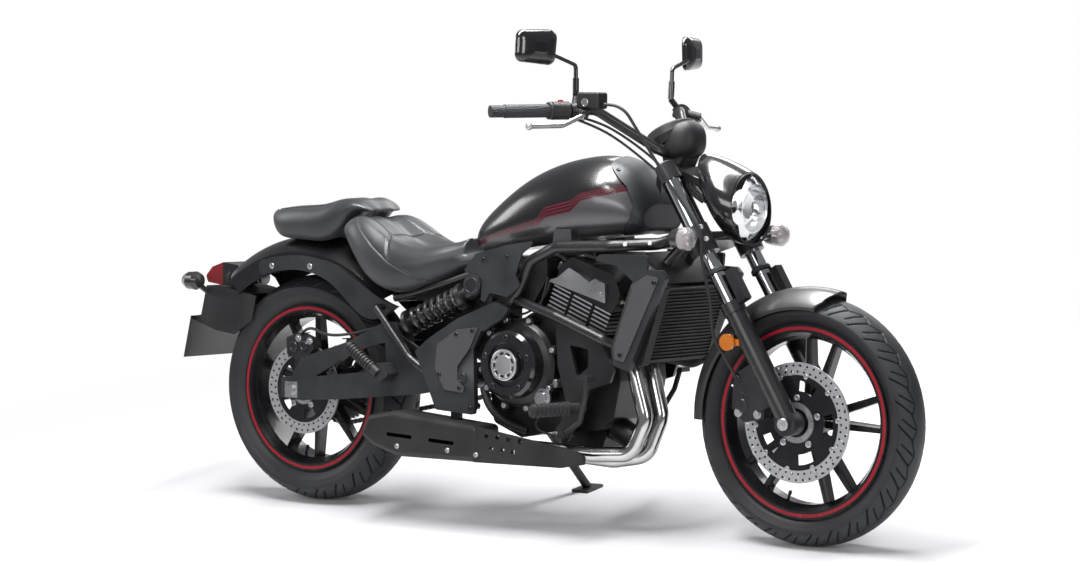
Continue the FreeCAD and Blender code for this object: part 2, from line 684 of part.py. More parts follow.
def front_caliper():
    """It straddles the disc behind the fork leg, on the slider's lug."""
    y = FRONT_DISC_Y
    outline = [(-160, 100), (-108, 118), (-66, 70), (-70, 6), (-130, -4), (-164, 30)]
    points = [(FRONT_AXLE.x + x, FRONT_AXLE.z + z) for x, z in outline]
    body = slab(points, y - 42, y + 26, 10)
    slot = spun([(y - 6, 0), (y + 6, 0), (y + 6, FRONT_DISC_R + 6), (y - 6, FRONT_DISC_R + 6)], FRONT_AXLE)
    wheel_room = spun([(y + 4, 0), (y + 30, 0), (y + 30, FRONT_DISC_R + 50), (y + 4, FRONT_DISC_R + 50)],
                      FRONT_AXLE)
    leg = on_fork(rod(V(0, -FORK_Y, -40), V(0, -FORK_Y, 420), SLIDER_R + FIT))
    mount = on_fork(box(-62 - FIT, -10, -FORK_Y - 12 - FIT, -FORK_Y + 8 + FIT, 62 - FIT, 178 + FIT))
    save("front_caliper", [body.cut(slot).cut(leg).cut(mount).cut(wheel_room)])


def reflectors():
    at = V(1408, FORK_Y + 24, 507)
    plate = Part.makeCylinder(21, 8, at, V(0, 1, 0))
    tab = box(at.x - 4, 1440, FORK_Y + 10, FORK_Y + 24, at.z - 8, at.z + 8)
    leg = on_fork(rod(V(0, FORK_Y, 0), V(0, FORK_Y, 420), SLIDER_R + FIT))
    save("reflectors", both(fused([plate, tab]).cut(leg)))


def brake_hose():
    """From the fluid box down the fork leg to the caliper, in straight runs and tangent arcs."""
    points = [V(1097, -234, 1094), V(1150, -226, 1090), V(1250, -165, 900), V(1338, -147, 778),
              V(1338, -146, 712), V(1346, -138, 660), V(1360, -136, 600), V(1366, -134, 520),
              V(1428, -102, 400)]
    caliper_room = slab([(1400, 380), (1400, 407.4 + FIT), (1467, 430.6 + FIT), (1467, 380)], -113, -60)
    save("brake_hose", [tube(points, 4.0, 60.0).cut(caliper_room)])


# Frame

def steer_x(z):
    """Where the steering axis passes a height, on the machine's middle line."""
    ground = WHEELBASE + TRAIL
    return ground - z * math.tan(math.radians(RAKE))


def frame_lines():
    """The main tubes of one side as lists of points, with each one's radius and bend."""
    head_high = V(steer_x(772), 18, 772)
    head_low = V(steer_x(766) - 10, 16, 766)
    upper = [head_high, V(1170, 92, 742), V(1060, 140, 736), V(905, 160, 730), V(812, 146, 690),
             V(770, 141, 610), V(690, 140, 520)]
    lower = [V(764, 141, 588), V(900, 158, 552), V(1050, 160, 498), V(1098, 130, 474),
             V(1124, 92, 560), V(1160, 56, 680), head_low]
    seat_rail = [V(790, 136, 672), V(640, 118, 662), V(508, 104, 622), V(402, 100, 592), V(330, 100, 573)]
    return ((upper, TUBE_R, 44.0), (lower, LOW_TUBE_R, 26.0), (seat_rail, 9.0, 60.0))


def grown_tube(points, radius, bend):
    """The room of a frame tube with its seating gap."""
    return tube(points, radius + FIT, bend)


def frame():
    head = on_fork(rod(V(-FORK_OFFSET, 0, HEAD_BOTTOM), V(-FORK_OFFSET, 0, HEAD_TOP), HEAD_R))
    bore = on_fork(rod(V(-FORK_OFFSET, 0, 400), V(-FORK_OFFSET, 0, 900), STEM_R + RUN))
    side = [tube(points, radius, bend) for points, radius, bend in frame_lines()]
    y0, y1 = PIVOT_PLATE_Y
    side.append(slab([(700, 600), (775, 604), (740, 556), (664, 500), (636, 440), (642, 296),
                      (556, 296), (548, 400), (640, 530)], y0, y1, 12))
    side += cover_posts()
    side.append(slab([(896, 534), (1026, 506), (1080, 422), (1067, 388), (1006, 368), (970, 300),
                      (940, 232), (905, 236), (930, 337), (904, 424)], 140, 150, 8).cut(
        slab([(940, 480), (1000, 470), (1000, 425), (966, 398)], 138, 152, 6)))
    side.append(cross_rod(924, 250, ENGINE_HALF_W + FIT, 145, 12))
    side.append(cross_rod(930, 505, ENGINE_HALF_W + FIT, 150, 16))
    side.append(cross_rod(*RAIL_FOOT, RAIL_Y[1] + FIT, 150, STAY_R))
    side.append(tube(RAIL_STAY, STAY_R, 60.0))
    bracket = slab([(1092, 500), (1156, 494), (1150, 470), (1096, 466)], 122, 134, 3)
    side.append(bracket.cut(radiator(True)))
    solids = both(*side)
    solids.append(cross_rod(PIVOT.x, PIVOT.z, -PIVOT_PLATE_Y[1], PIVOT_PLATE_Y[1], 12))
    solids.append(muffler_hanger())
    solids.append(cross_rod(*SEAT_CROSS, -100, 100, STAY_R))
    solids.append(cross_rod(SHOCK_TOP.x, SHOCK_TOP.z, -PIVOT_PLATE_Y[1], -80, 9))
    solids.append(slab([(630, 606), (660, 606), (690, 560), (720, 600), (670, 650), (630, 640)],
                       -PIVOT_PLATE_Y[1], -PIVOT_PLATE_Y[0], 6))
    solids.append(slab([(600, 320), (642, 320), (668, 250), (664, 216), (612, 216), (600, 250)],
                       PIVOT_PLATE_Y[0], PIVOT_PLATE_Y[1], 8))
    tab, web, bolt, stand_room = stand_lug()
    body = fused([head, tab, web] + solids).cut(stand_room).cut(bore)
    save("frame", [fused([body, bolt])])


def muffler_hanger():
    """A lug from the right pivot plate down to the muffler's top."""
    (x0, z0), (x1, z1) = MUFFLER_TOP
    ends = [(x, z0 + (x - x0) * (z1 - z0) / (x1 - x0) + FIT) for x in (590, 560)]
    return slab([(560, 310), (590, 310)] + ends, -PIVOT_PLATE_Y[1], -PIVOT_PLATE_Y[0])


def cover_posts():
    """Bosses from the pivot plate and the tubes out to the inner faces of the covers."""
    face = COVER_Y[0] - FIT
    posts = [(640, 304), (636, 486)]
    low = [cross_rod(x, z, PIVOT_PLATE_Y[0], face, 9) for x, z in posts]
    return low + [cross_rod(x, z, 140, face + UPPER_COVER_OUT, 8) for x, z in ((766, 640), (700, 590))]


def frame_side_covers():
    y0, y1 = COVER_Y
    lower = slab([(715, 581), (764, 563), (736, 534), (673, 503), (649, 456), (654, 309), (648, 283),
                  (526, 290), (503, 340), (455, 441), (502, 478), (595, 533)], y0, y1, 7)
    upper = slab([(618, 659), (660, 706), (758, 731), (855, 745), (807, 710), (787, 653), (801, 626),
                  (781, 608), (760, 596), (704, 605), (690, 580), (676, 585), (680, 640)],
                 y0 + UPPER_COVER_OUT, y1 + 6, 6)
    boss = cross_rod(SHOCK_TOP.x, SHOCK_TOP.z, y0 + UPPER_COVER_OUT - 2, y1 + 12, 27)
    save("frame_covers", both(lower, fused([upper, boss])))
    insert = slab([(532, 462), (596, 505), (667, 514), (639, 456), (600, 409), (600, 374), (622, 353),
                   (619, 339), (558, 344), (525, 399)], y1 + FIT, y1 + 4, 4)
    save("cover_inserts", both(insert) + both(shroud_insert()))


def under_seat():
    """The box below the rider's seat and the air box ahead of it, closed inside."""
    points, radius, bend = frame_lines()[2]
    rail = tube(points, radius + FIT, bend)
    air = slab([(700, 690), (846, 704), (846, 646), (800, 575), (700, 556)], -119, 119, 16)
    air = air.cut(rail).cut(mirrored(rail))
    tray = slab([(338, 590), (402, 586), (450, 603), (533, 640), (640, 668), (684, 682), (684, 600),
                 (640, 640), (533, 606), (402, 568), (338, 570)], -68, 68, 4)
    save("inner_boxes", [air, tray.cut(cross_rod(*SEAT_CROSS, -100, 100, STAY_R + FIT))])


# Engine

def chain_room():
    """The space round the front sprocket, open to the back for the chain."""
    low, high = CHAIN_Y - CHAIN_W / 2 - 3, CHAIN_Y + CHAIN_W / 2 + 5
    return Part.Face(loop_wire(CHAIN_H / 2 + 6, low)).extrude(V(0, high - low, 0))


def crankcase():
    outline = [(668, 262), (650, 400), (668, 500), (760, 530), (846, 571), (1024, 501), (1062, 470),
               (1070, 390), (1050, 290), (1000, 258), (880, 252), (760, 226)]
    w = ENGINE_HALF_W
    case = slab(outline, -w, w, 18)
    oil_filter = rod(V(1020, -40, 262), V(1078, -40, 232), 34)
    sump = slab([(840, 258), (1010, 262), (990, 206), (870, 206)], -70, 70, 16)
    save("crankcase", [fused([case, oil_filter, sump]).cut(chain_room())])


def cylinders():
    """The barrels and head lean forward, with cooling fins cut into both sides."""
    w = CYLINDER_HALF_W
    base = V(846, 0, 571.1)
    tilt = math.radians(CYLINDER_TILT)
    along = V(math.cos(tilt), 0, math.sin(tilt))
    up = V(-math.sin(tilt), 0, math.cos(tilt))
    length = 190.0

    def at(a, b):
        point = base + along * a + up * b
        return (point.x, point.z)

    tall = FIN_PITCH * FIN_COUNT
    core = slab([at(4, FIT), at(length - 4, FIT), at(length - 4, tall + 4), at(4, tall + 4)], 8 - w, w - 8)
    parts = [core]
    for i in range(FIN_COUNT):
        low = FIN_PITCH * (i + 0.5)
        for start, stop in ((0, 56), (66, 128), (138, length)):
            parts.append(slab([at(start, low), at(stop, low), at(stop, low + FIN_T), at(start, low + FIN_T)],
                              -w, w))
    head = slab([at(-2, tall), at(length, tall), at(length + 6, tall + 54), at(length - 30, tall + 92),
                 at(20, tall + 84), at(-4, tall + 50)], -w + 4, w - 4, 6)
    save("cylinders", [fused(parts + [head])])
    headers(head)
    cover = slab([(851, 640), (884, 650), (920, 676), (952, 660), (984, 640), (1000, 650), (1032, 638),
                  (1034, 588)], w - 4 + FIT, w + 8, 3)
    save("head_cover", both(cover))


def engine_covers():
    """The round clutch cover on the right, and the generator and sprocket covers on the left."""
    c, r = CRANK_COVER, CRANK_COVER_R
    w = ENGINE_HALF_W + FIT
    clutch = spun([(-w, 0), (-w, r + 24), (-w - 34, r + 24), (-w - 44, r + 14), (-w - 50, r),
                   (-w - 84, r - 2), (-w - 92, r - 10), (-w - 92, 58), (-w - 84, 56), (-w - 84, 44),
                   (-w - 96, 40), (-w - 100, 34), (-w - 100, 0)], c)
    generator = spun([(w, 0), (w, 72), (w + 34, 72), (w + 48, 62), (w + 54, 46), (w + 58, 38),
                      (w + 58, 0)], V(826, 0, 402))
    sprocket_cover = slab([(664, 304), (740, 300), (752, 340), (748, 440), (730, 478), (670, 478)],
                          w, CHAIN_Y + CHAIN_W / 2 + 40, 14)
    cap = cross_rod(858, 338, -w - 46, -w, 19)
    save("engine_covers", [clutch.fuse(cap).removeSplitter(), generator, sprocket_cover.cut(chain_room())])


def radiator(room=False):
    """The core leans back like the fork, between two side tanks; or the room ahead of its back."""
    low, high = V(1172, 0, 442), V(1232, 0, 632)
    up = (high - low).normalize()
    back = V(-up.z, 0, up.x)

    def at(a, b):
        point = low + up * a + back * b
        return (point.x, point.z)

    tall = (high - low).Length
    if room:
        return slab([at(-60, -90), at(tall, -90), at(tall, 36 + FIT), at(-60, 36 + FIT)], -170, 170)
    core = slab([at(0, 0), at(tall, 0), at(tall, 30), at(0, 30)], -132, 132)
    tanks = [slab([at(-6, -4), at(tall + 6, -4), at(tall + 6, 36), at(-6, 36)], y, y + 32, 6)
             for y in (-RADIATOR_HALF_W, RADIATOR_HALF_W - 32)]
    save("radiator", [fused([core] + tanks)])


def shroud_insert():
    return slab([(1152, 640), (1200, 668), (1238, 662), (1208, 600), (1134, 446), (1106, 452),
                 (1102, 484), (1156, 630)], SHROUD_Y[1] + FIT, SHROUD_Y[1] + 3, 6)


def shrouds():
    """The covers each side of the radiator, and the upper ones below the tank."""
    side = slab([(1156, 650), (1188, 682), (1240, 680), (1257, 662), (1241, 633), (1146, 422), (1099, 436),
                 (1092, 480), (1149, 636)], *SHROUD_Y, 8)
    upper = slab([(1036, 700), (1053, 716), (1200, 716), (1198, 686), (1193, 668), (1169, 640),
                  (1107, 687)], SHROUD_Y[1] - 12, SHROUD_Y[1] - 2, 6)
    save("radiator_shrouds", both(fused([side, upper])))


# Exhaust

def headers(head):
    """Two pipes from the ports at the front of the head, down and back under the engine."""
    near = [V(1040, -62, 608), V(1092, -72, 560), V(1098, -96, 440), V(1146, -100, 296),
            V(1108, -108, 205), V(1010, -130, 200), V(880, -152, 206), V(680, -160, 212)]
    far = [V(1040, 50, 608), V(1096, 40, 560), V(1108, -30, 450), V(1158, -44, 300),
           V(1126, -62, 200), V(1040, -88, 184), V(900, -122, 196), V(780, -152, 206)]
    pipes = [tube(near, HEADER_R, 45.0), tube(far, HEADER_R, 45.0)]
    muffler_room = box(500, MUFFLER_FRONT + FIT, -220, -100, 100, 300)
    save("header_pipes", [fused(pipes).cut(head).cut(muffler_room)])


def muffler():
    y0, y1 = MUFFLER_Y
    body = slab([(300, 214), (328, 267), *MUFFLER_TOP, (MUFFLER_FRONT, 164), (427, 162), (340, 187)],
                y0, y1, 14)
    body = body.makeFillet(16, [e for e in body.Edges if is_side_edge(e, y0, y1)])
    slots = [slab([(x, 226 - 0.05 * (x - 380)), (x + 84, 222 - 0.05 * (x - 380)), (x + 84, 212 - 0.05 * (x - 380)),
                   (x, 216 - 0.05 * (x - 380))], y0 - 1, y0 + 5, 4) for x in (395, 535)]
    shield = slab([(676, 258), (840, 236), (1010, 212), (1030, 200), (1028, 180), (960, 168), (676, 164)],
                  y0 + 4, y0 + 16, 8)
    holes = [cross_rod(x, z, y0, y0 + 30, 7) for x, z in
             ((722, 236), (757, 234), (794, 231), (830, 228), (738, 204), (774, 202), (808, 199))]
    save("muffler", [fused([body.cut(Part.makeCompound(slots)), shield.cut(Part.makeCompound(holes))])])


def is_side_edge(edge, y0, y1):
    ys = [v.Y for v in edge.Vertexes]
    return all(abs(y - y0) < 0.01 for y in ys) or all(abs(y - y1) < 0.01 for y in ys)


# Tank, seats and fenders

def tank_section(x, top, low, half, square=0.0):
    """One closed slice across the tank: a crown, full sides and a narrow foot."""
    rise = top - low
    right = [(0.0, top), (0.52 * half, top - 0.07 * rise), (0.86 * half, top - 0.27 * rise),
             (half, low + 0.44 * rise), (0.93 * half, low + 0.16 * rise), (0.72 * half, low),
             (0.36 * half, low - 2)]
    left = [(-y, z) for y, z in reversed(right[1:])]
    return closed_spline([V(x, y, z) for y, z in right + left])


TANK_STATIONS = ((562, 752, 720, 34), (580, 780, 712, 66), (650, 842, 712, 108), (750, 908, 724, 136),
                 (850, 948, 740, 149), (940, 963, 754, 150), (1020, 952, 764, 140), (1070, 922, 770, 126),
                 (1104, 880, 774, 108), (1122, 842, 784, 84))


def cap_place(shape):
    """From the filler cap's own axes, Z out of the neck, to its place on the tank's left crown."""
    shape = shape.copy()
    shape.rotate(V(0, 0, 0), V(1, 0, 0), -CAP_TILT)
    shape.translate(CAP_AT)
    return shape


def fuel_tank():
    body = loft([tank_section(*station) for station in TANK_STATIONS])
    recess = cap_place(rod(V(0, 0, 0), V(0, 0, 60), CAP_R + 15))
    ring = cap_place(rod(V(0, 0, -24), V(0, 0, 3), CAP_R + 6))
    neck = cap_place(rod(V(0, 0, -46), V(0, 0, 30), NECK_R))
    hinge_x, hinge_z = CAP_R + 7, 3 + FIT + 4.5
    hinge_room = cap_place(cross_rod(hinge_x, hinge_z, -12.5, 12.5, 7.0))
    ears = [cap_place(box(hinge_x - 5, hinge_x + 5, y, y + 5, -16, hinge_z + 4)) for y in (-17.5, 12.5)]
    pads = [slab([(880, 734), (940, 738), (936, 775), (884, 775)], y, y + 46, 3) for y in (-144, 98)]
    tubes = [grown_tube(*line) for line in frame_lines()[:1]]
    tubes += [mirrored(t) for t in tubes]
    body = fused([body.cut(recess), ring] + ears + pads)
    save("fuel_tank", [body.cut(neck).cut(hinge_room).cut(Part.makeCompound(tubes))])
    lid = rod(V(0, 0, 3 + FIT), V(0, 0, 10), CAP_R)
    tongue = box(CAP_R - 8, hinge_x, -12, 12, 3 + FIT, 10)
    barrel = cross_rod(hinge_x, hinge_z, -12, 12, 4.2)
    save("fuel_cap", [cap_place(fused([lid, tongue, barrel]))])
    over, skin = (loft([tank_section(x, top + g, low - g, half + g) for x, top, low, half in TANK_STATIONS])
                  for g in (5.0, FIT))
    band = slab([(980, 990), (1020, 940), (1078, 888), (1104, 844), (1100, 808), (1070, 768), (1040, 740),
                 (1200, 740), (1200, 1000), (980, 1000)], -170, 170, 10)
    save("tank_trim", [over.cut(skin).common(band)])


def seat_section(x, top, low, half, dish):
    """A slice across a seat: a dished top, rolled edges and straight sides."""
    right = [(0.0, top - dish), (0.45 * half, top - 0.6 * dish), (0.82 * half, top - 4),
             (half, top - 0.34 * (top - low)), (0.98 * half, low + 0.25 * (top - low)), (0.86 * half, low),
             (0.43 * half, low - 1)]
    left = [(-y, z) for y, z in reversed(right[1:])]
    return closed_spline([V(x, y, z) for y, z in right + left])


def seats():
    """The rider's bucket seat with its tongue under the tank, and the passenger's pad behind it."""
    pillion_sections = ((-140, 799, 768, 54), (-118, 805, 740, 74), (-66, 811, 727, 94), (-10, 816, 726, 104),
                        (80, 824, 728, 112), (130, 837, 756, 108), (180, 832, 800, 92), (212, 812, 800, 74))
    pillion = loft([seat_section(x, top, low, half, 1) for x, top, low, half in pillion_sections])
    groove = fender_side(FIT, 200)
    save("pillion_seat", [pillion.cut(groove)])
    rider = loft([seat_section(*s) for s in (
        (150, 768, 736, 98, 2), (190, 790, 700, 130, 4), (232, 786, 656, 148, 8), (300, 748, 610, 158, 12),
        (360, 722, 598, 154, 10), (430, 716, 612, 140, 4), (490, 724, 636, 118, 0), (552, 742, 660, 84, 0))])
    tongue = loft([seat_section(*s) for s in ((535, 698, 658, 98, 0), (590, 698, 668, 100, 0),
                                              (640, 699, 684, 100, 0))])
    above = loft([seat_section(x, top + FIT, low - FIT, half + FIT, 1) for x, top, low, half in pillion_sections])
    tank = loft([tank_section(x, top + FIT, low - FIT, half + FIT) for x, top, low, half in TANK_STATIONS])
    points, radius, bend = frame_lines()[2]
    rails = both(tube(points, radius + FIT, bend)) + [cross_rod(*SEAT_CROSS, -100, 100, STAY_R + FIT)]
    body = fused([rider, tongue]).cut(above).cut(groove).cut(tank)
    save("rider_seat", [body.cut(Part.makeCompound(rails))])


def fender_side(grow, foot):
    """The fender's outside across the wheel: straight sides under a round crown, down to a radius."""
    half, r, c = REAR_FENDER_W / 2 + grow, REAR_FENDER_R + grow, REAR_FENDER_CENTRE
    knee = REAR_FENDER_R - FENDER_SHOULDER

    def at(y, radius):
        return V(c.x + radius, y, c.z)

    edges = [Part.LineSegment(at(-half, foot), at(-half, knee)).toShape(),
             Part.Arc(at(-half, knee), at(0, r), at(half, knee)).toShape(),
             Part.LineSegment(at(half, knee), at(half, foot)).toShape(),
             Part.LineSegment(at(half, foot), at(-half, foot)).toShape()]
    return turned(Part.Face(Part.Wire(edges)), c, FENDER_START, FENDER_SWEEP)


def rear_fender():
    """A band with deep sides, carried between the two rails."""
    save("rear_fender", [fender_side(0, FENDER_FOOT).cut(fender_side(-FENDER_T, FENDER_FOOT - 10))])


def fender_rails():
    """Two flat arched rails beside the fender, each with two bolts, out from the frame's stays."""
    top = spline([V(*p) for p in ((-120, 0, 664), (-29, 0, 678), (61, 0, 672), (136, 0, 653),
                                  (217, 0, 612), (297, 0, 568), (344, 0, 552))])
    low = spline([V(*p) for p in ((326, 0, 540), (232, 0, 520), (121, 0, 603), (61, 0, 629),
                                  (-44, 0, 638), (-120, 0, 622))])
    nose = Part.Arc(V(-120, 0, 622), V(-142, 0, 643), V(-120, 0, 664)).toShape()
    tip = Part.LineSegment(V(344, 0, 552), V(326, 0, 540)).toShape()
    face = Part.Face(Part.Wire(Part.__sortEdges__([top, tip, low, nose])))
    face.translate(V(0, RAIL_Y[0], 0))
    rail = face.extrude(V(0, RAIL_Y[1] - RAIL_Y[0], 0))
    holes = [cross_rod(x, z, RAIL_Y[0] - 1, RAIL_Y[1] + 1, 4.0) for x, z in ((-93, 647), (43, 650))]
    save("fender_rails", both(rail.cut(Part.makeCompound(holes))))


def tail():
    """The lamp on the fender's end, the plate holder below it and the plate."""
    fender = fender_side(FIT, 200)
    lamp = slab([(-270, 640), (-330, 648), (-372, 634), (-396, 608), (-388, 590), (-340, 584), (-280, 584)],
                -46, 46, 8)
    save("tail_lamp", [lamp.cut(fender)])
    room = spun([(-88, 0), (88, 0), (88, REAR_TYRE_R + TYRE_GAP), (-88, REAR_TYRE_R + TYRE_GAP)], REAR_AXLE)
    inside = REAR_FENDER_W / 2 - FENDER_T - FIT
    holder = slab([(-300, 584 - FIT), (-352, 584 - FIT), (-372, 500), (-392, 497), (-395, 484), (-319, 459),
                   (-250, 450), (-184, 491), (-170, 560)], -inside, inside, 3)
    band = fender_side(FIT, FENDER_FOOT - 1).cut(fender_side(-FENDER_T - FIT, FENDER_FOOT - 20))
    save("plate_holder", [holder.cut(room).cut(band)])
    plate = slab([(-392 - FIT, 497), (-395 - FIT, 497), (-422, 380), (-419, 379)], -110, 110)
    save("number_plate", [plate])
    body = [(0, 0), (-4, 16), (-20, 24), (-44, 26), (-58, 20), (-62, 0)]
    at = V(-392, 140, 598)
    corners = [V(at.x - a, at.y, at.z + r) for a, r in body]
    bullet = Part.Face(Part.makePolygon(corners + corners[:1])).revolve(at, V(1, 0, 0), 360)
    stalk = rod(V(-350, 80, 560), V(at.x + 34, at.y, at.z), 8)
    flank = box(-400, -200, -inside - FIT, inside + FIT, 300, 700)
    save("rear_signals", both(fused([bullet, stalk]).cut(flank)))


# Rear suspension

def swingarm():
    """Two arms with braces above them, a bridge ahead of the tyre and the pivot tube."""
    y0, y1 = ARM_Y
    arm = slab([(-40, 345), (40, 347), (414, 392), (560, 407), (604, 404), (618, 377), (604, 350),
                (560, 346), (431, 322), (168, 294), (32, 284), (-40, 288)], y0, y1, 6)
    brace = slab([(-8, 340), (30, 400), (195, 452), (320, 512), (362, 512), (374, 470), (432, 385),
                  (400, 380), (345, 462), (220, 428), (60, 340)], y1 - 14, y1, 6)
    lug = slab([(330, 360), (318, 500), (345, 514), (372, 500), (410, 360)], SHOCK_LUG_Y, -82, 8)
    tab = slab([(330, 380), (322, 480), (345, 512), (370, 480), (410, 380)], -y1, -y1 + 5, 6)
    bridge_block = box(340, 420, -y0 - 6, y0 + 6, 326, 380)
    pivot = cross_rod(PIVOT.x, PIVOT.z, -y1, y1, 30)
    eye_room = cross_rod(SHOCK_FOOT.x, SHOCK_FOOT.z, -y1 + 5, SHOCK_LUG_Y, 24)
    axis = (SHOCK_TOP - SHOCK_FOOT).normalize()
    eye_room = eye_room.fuse(rod(SHOCK_FOOT + axis * 43, SHOCK_FOOT + axis * 200, 39))
    eye_room = eye_room.fuse(rod(SHOCK_FOOT, SHOCK_FOOT + axis * 60, 14))
    bolt = cross_rod(SHOCK_FOOT.x, SHOCK_FOOT.z, -y1, -82, 8)
    solids = [arm, mirrored(arm), brace, mirrored(brace), lug, bridge_block, pivot]
    body = fused(solids).cut(eye_room).cut(chain_path())
    body = fused([body, tab.cut(eye_room), bolt])
    holes = [cross_rod(PIVOT.x, PIVOT.z, -200, 200, 12 + FIT)]
    holes += [cross_rod(REAR_AXLE.x, REAR_AXLE.z, y, y + 60, AXLE_R + FIT) for y in (-150, 90)]
    save("swingarm", [body.cut(Part.makeCompound(holes))])
    axle = cross_rod(REAR_AXLE.x, REAR_AXLE.z, -y1 - 16, y1 + 16, AXLE_R)
    blocks = [box(-22, 22, y, y + 5, REAR_AXLE.z - 22, REAR_AXLE.z + 22) for y in (-y1 - 5 - FIT, y1 + FIT)]
    nuts = [cross_rod(REAR_AXLE.x, REAR_AXLE.z, y, y + 10, 15) for y in (-y1 - 15, y1 + 5)]
    spacers = [cross_rod(REAR_AXLE.x, REAR_AXLE.z, *span, 16) for span in
               ((-y0 + FIT, REAR_DISC_Y - 3 - RUN), (CHAIN_Y + 4 + RUN, y0 - FIT))]
    save("rear_axle", [fused([axle] + blocks + nuts + spacers)])


def chain_path():
    """The chain's room through the swingarm's bridge and pivot tube."""
    low, high = CHAIN_Y - CHAIN_W / 2 - 2, CHAIN_Y + CHAIN_W / 2 + 2
    outer = Part.Face(loop_wire(CHAIN_H / 2 + 5, low)).extrude(V(0, high - low, 0))
    inner = Part.Face(loop_wire(-CHAIN_H / 2 - 5, low)).extrude(V(0, high - low, 0))
    return outer.cut(inner)


def shock():
    """A single shock on the right: body, rod, spring seats, eyes and a coil spring."""
    top, foot = SHOCK_TOP, SHOCK_FOOT
    axis = (top - foot).normalize()
    length = (top - foot).Length
    seat_low, seat_high = 58.0, length - 92.0
    eyes = [Part.makeCylinder(r, SHOCK_EYE_W, V(at.x, at.y - SHOCK_EYE_W / 2, at.z), V(0, 1, 0))
            for at, r in ((foot, 19), (top, 22))]
    body = fused([rod(foot, foot + axis * seat_low, 12), rod(foot + axis * 46, foot + axis * seat_low, 36),
                  rod(foot + axis * seat_low, foot + axis * (seat_high - 10), 17),
                  rod(foot + axis * (seat_high - 10), top, 21),
                  rod(foot + axis * seat_high, foot + axis * (seat_high + 14), 37)] + eyes)
    holes = [cross_rod(top.x, top.z, -200, -60, 9 + FIT), cross_rod(foot.x, foot.z, -200, -60, 8 + FIT)]
    save("shock_absorber", [body.cut(Part.makeCompound(holes))])
    save("shock_spring", [coil_spring(foot + axis * seat_low, axis, seat_high - seat_low)])


def coil_spring(start, axis, room):
    """Turns of tangent arcs between the two spring seats."""
    wire_r, steps = SPRING_WIRE_R, 8
    rise = room - 2 * wire_r - 2 * FIT
    count = SPRING_TURNS * steps
    corner_r = SPRING_R / math.cos(math.pi / steps)
    points = []
    for i in range(count + 1):
        t = 2 * math.pi * i / steps
        points.append(V(corner_r * math.cos(t), corner_r * math.sin(t), rise * i / count))
    ahead = (points[1] - points[0]).normalize()
    across = ahead.cross(V(0, 0, 1)).normalize()
    up = across.cross(ahead)
    ring = [points[0] + across * (wire_r * math.cos(k * math.pi / 4)) + up * (wire_r * math.sin(k * math.pi / 4))
            for k in range(8)]
    path = Part.Wire(rounded_edges(points, SPRING_R * 0.985, False))
    coil = path.makePipeShell([Part.makePolygon(ring + ring[:1])], True, False)
    coil.Placement = FreeCAD.Placement(start + axis * (wire_r + FIT), FreeCAD.Rotation(V(0, 0, 1), axis))
    return coil


def rear_caliper():
    y = REAR_DISC_Y
    body = slab([(-40, 452), (0, 466), (42, 452), (60, 428), (36, 400), (0, 392), (-36, 404)], y - 30, y + 22, 8)
    slot = spun([(y - 6, 0), (y + 6, 0), (y + 6, REAR_DISC_R + 8), (y - 6, REAR_DISC_R + 8)], REAR_AXLE)
    hanger = slab([(-26, 400), (36, 402), (22, 320), (-22, 320)], y - 11, y - 7)
    spacer = cross_rod(REAR_AXLE.x, REAR_AXLE.z, -200, 0, 16 + FIT)
    wheel_room = spun([(y + 6, 0), (y + 60, 0), (y + 60, 152), (y + 6, 152)], REAR_AXLE)
    save("rear_caliper", [fused([body, hanger]).cut(slot).cut(wheel_room).cut(spacer)])


# Foot controls and stand

def footpegs():
    """Forward pegs on brackets with the pedals, and the passenger's pegs folded up behind."""
    y = PIVOT_PLATE_Y[1] + FIT
    bracket = slab([(905, 262), (990, 342), (1000, 318), (930, 232)], y, y + 10, 4)
    peg = rod(V(975, y + 4, 320), V(905, 270, 314), 14)
    pedal = tube([V(942, 172, 252), V(1000, 184, 286), V(1030, 205, 350), V(1040, 215, 400)], 7, 20)
    pad = box(1024, 1058, 196, 236, 396, 408)
    pivot = cross_rod(938, 250, y, 182, 11)
    flank = box(850, 1100, y - 60, y, 180, 420)
    save("footpegs", both(fused([bracket, peg, pedal, pad, pivot]).cut(flank)))
    rear_peg = rod(V(336, 178, 376), V(236, 184, 446), 13)
    foot = slab([(300, 400), (352, 404), (372, 372), (340, 352), (306, 372)], ARM_Y[1] + FIT, 180, 8)
    save("pillion_pegs", both(fused([rear_peg, foot]).cut(rail_stay_room())))


def rail_stay_room():
    return tube(RAIL_STAY, STAY_R + FIT, 60.0)


def stand_foot():
    """Where the stand meets the floor, in upright axes."""
    return unpark(V(STAND_PIVOT.x + STAND_AHEAD, 0, 0), STAND_REACH)


def stand_axis():
    """The hinge is square to the leg both down and folded back along the machine."""
    down = (stand_foot() - STAND_PIVOT).normalize()
    return down.cross(STAND_FOLDED).normalize()


def stand_lug():
    """The tab and web on the left pivot plate, the stand's bolt and the room for its knuckle."""
    axis = stand_axis()
    root = STAND_PIVOT - axis * 10
    tab = rod(root - axis * 12, root - axis * 0.5, 20)
    bolt = rod(root - axis * 12, STAND_PIVOT + axis * 10, 6)
    web = box(STAND_PIVOT.x - 12, STAND_PIVOT.x + 12, PIVOT_PLATE_Y[0], STAND_PIVOT.y - 12,
              STAND_PIVOT.z - 16, STAND_PIVOT.z + 10)
    room = rod(STAND_PIVOT - axis * (10 + FIT), STAND_PIVOT + axis * 60, 26)
    return tab, web, bolt, room


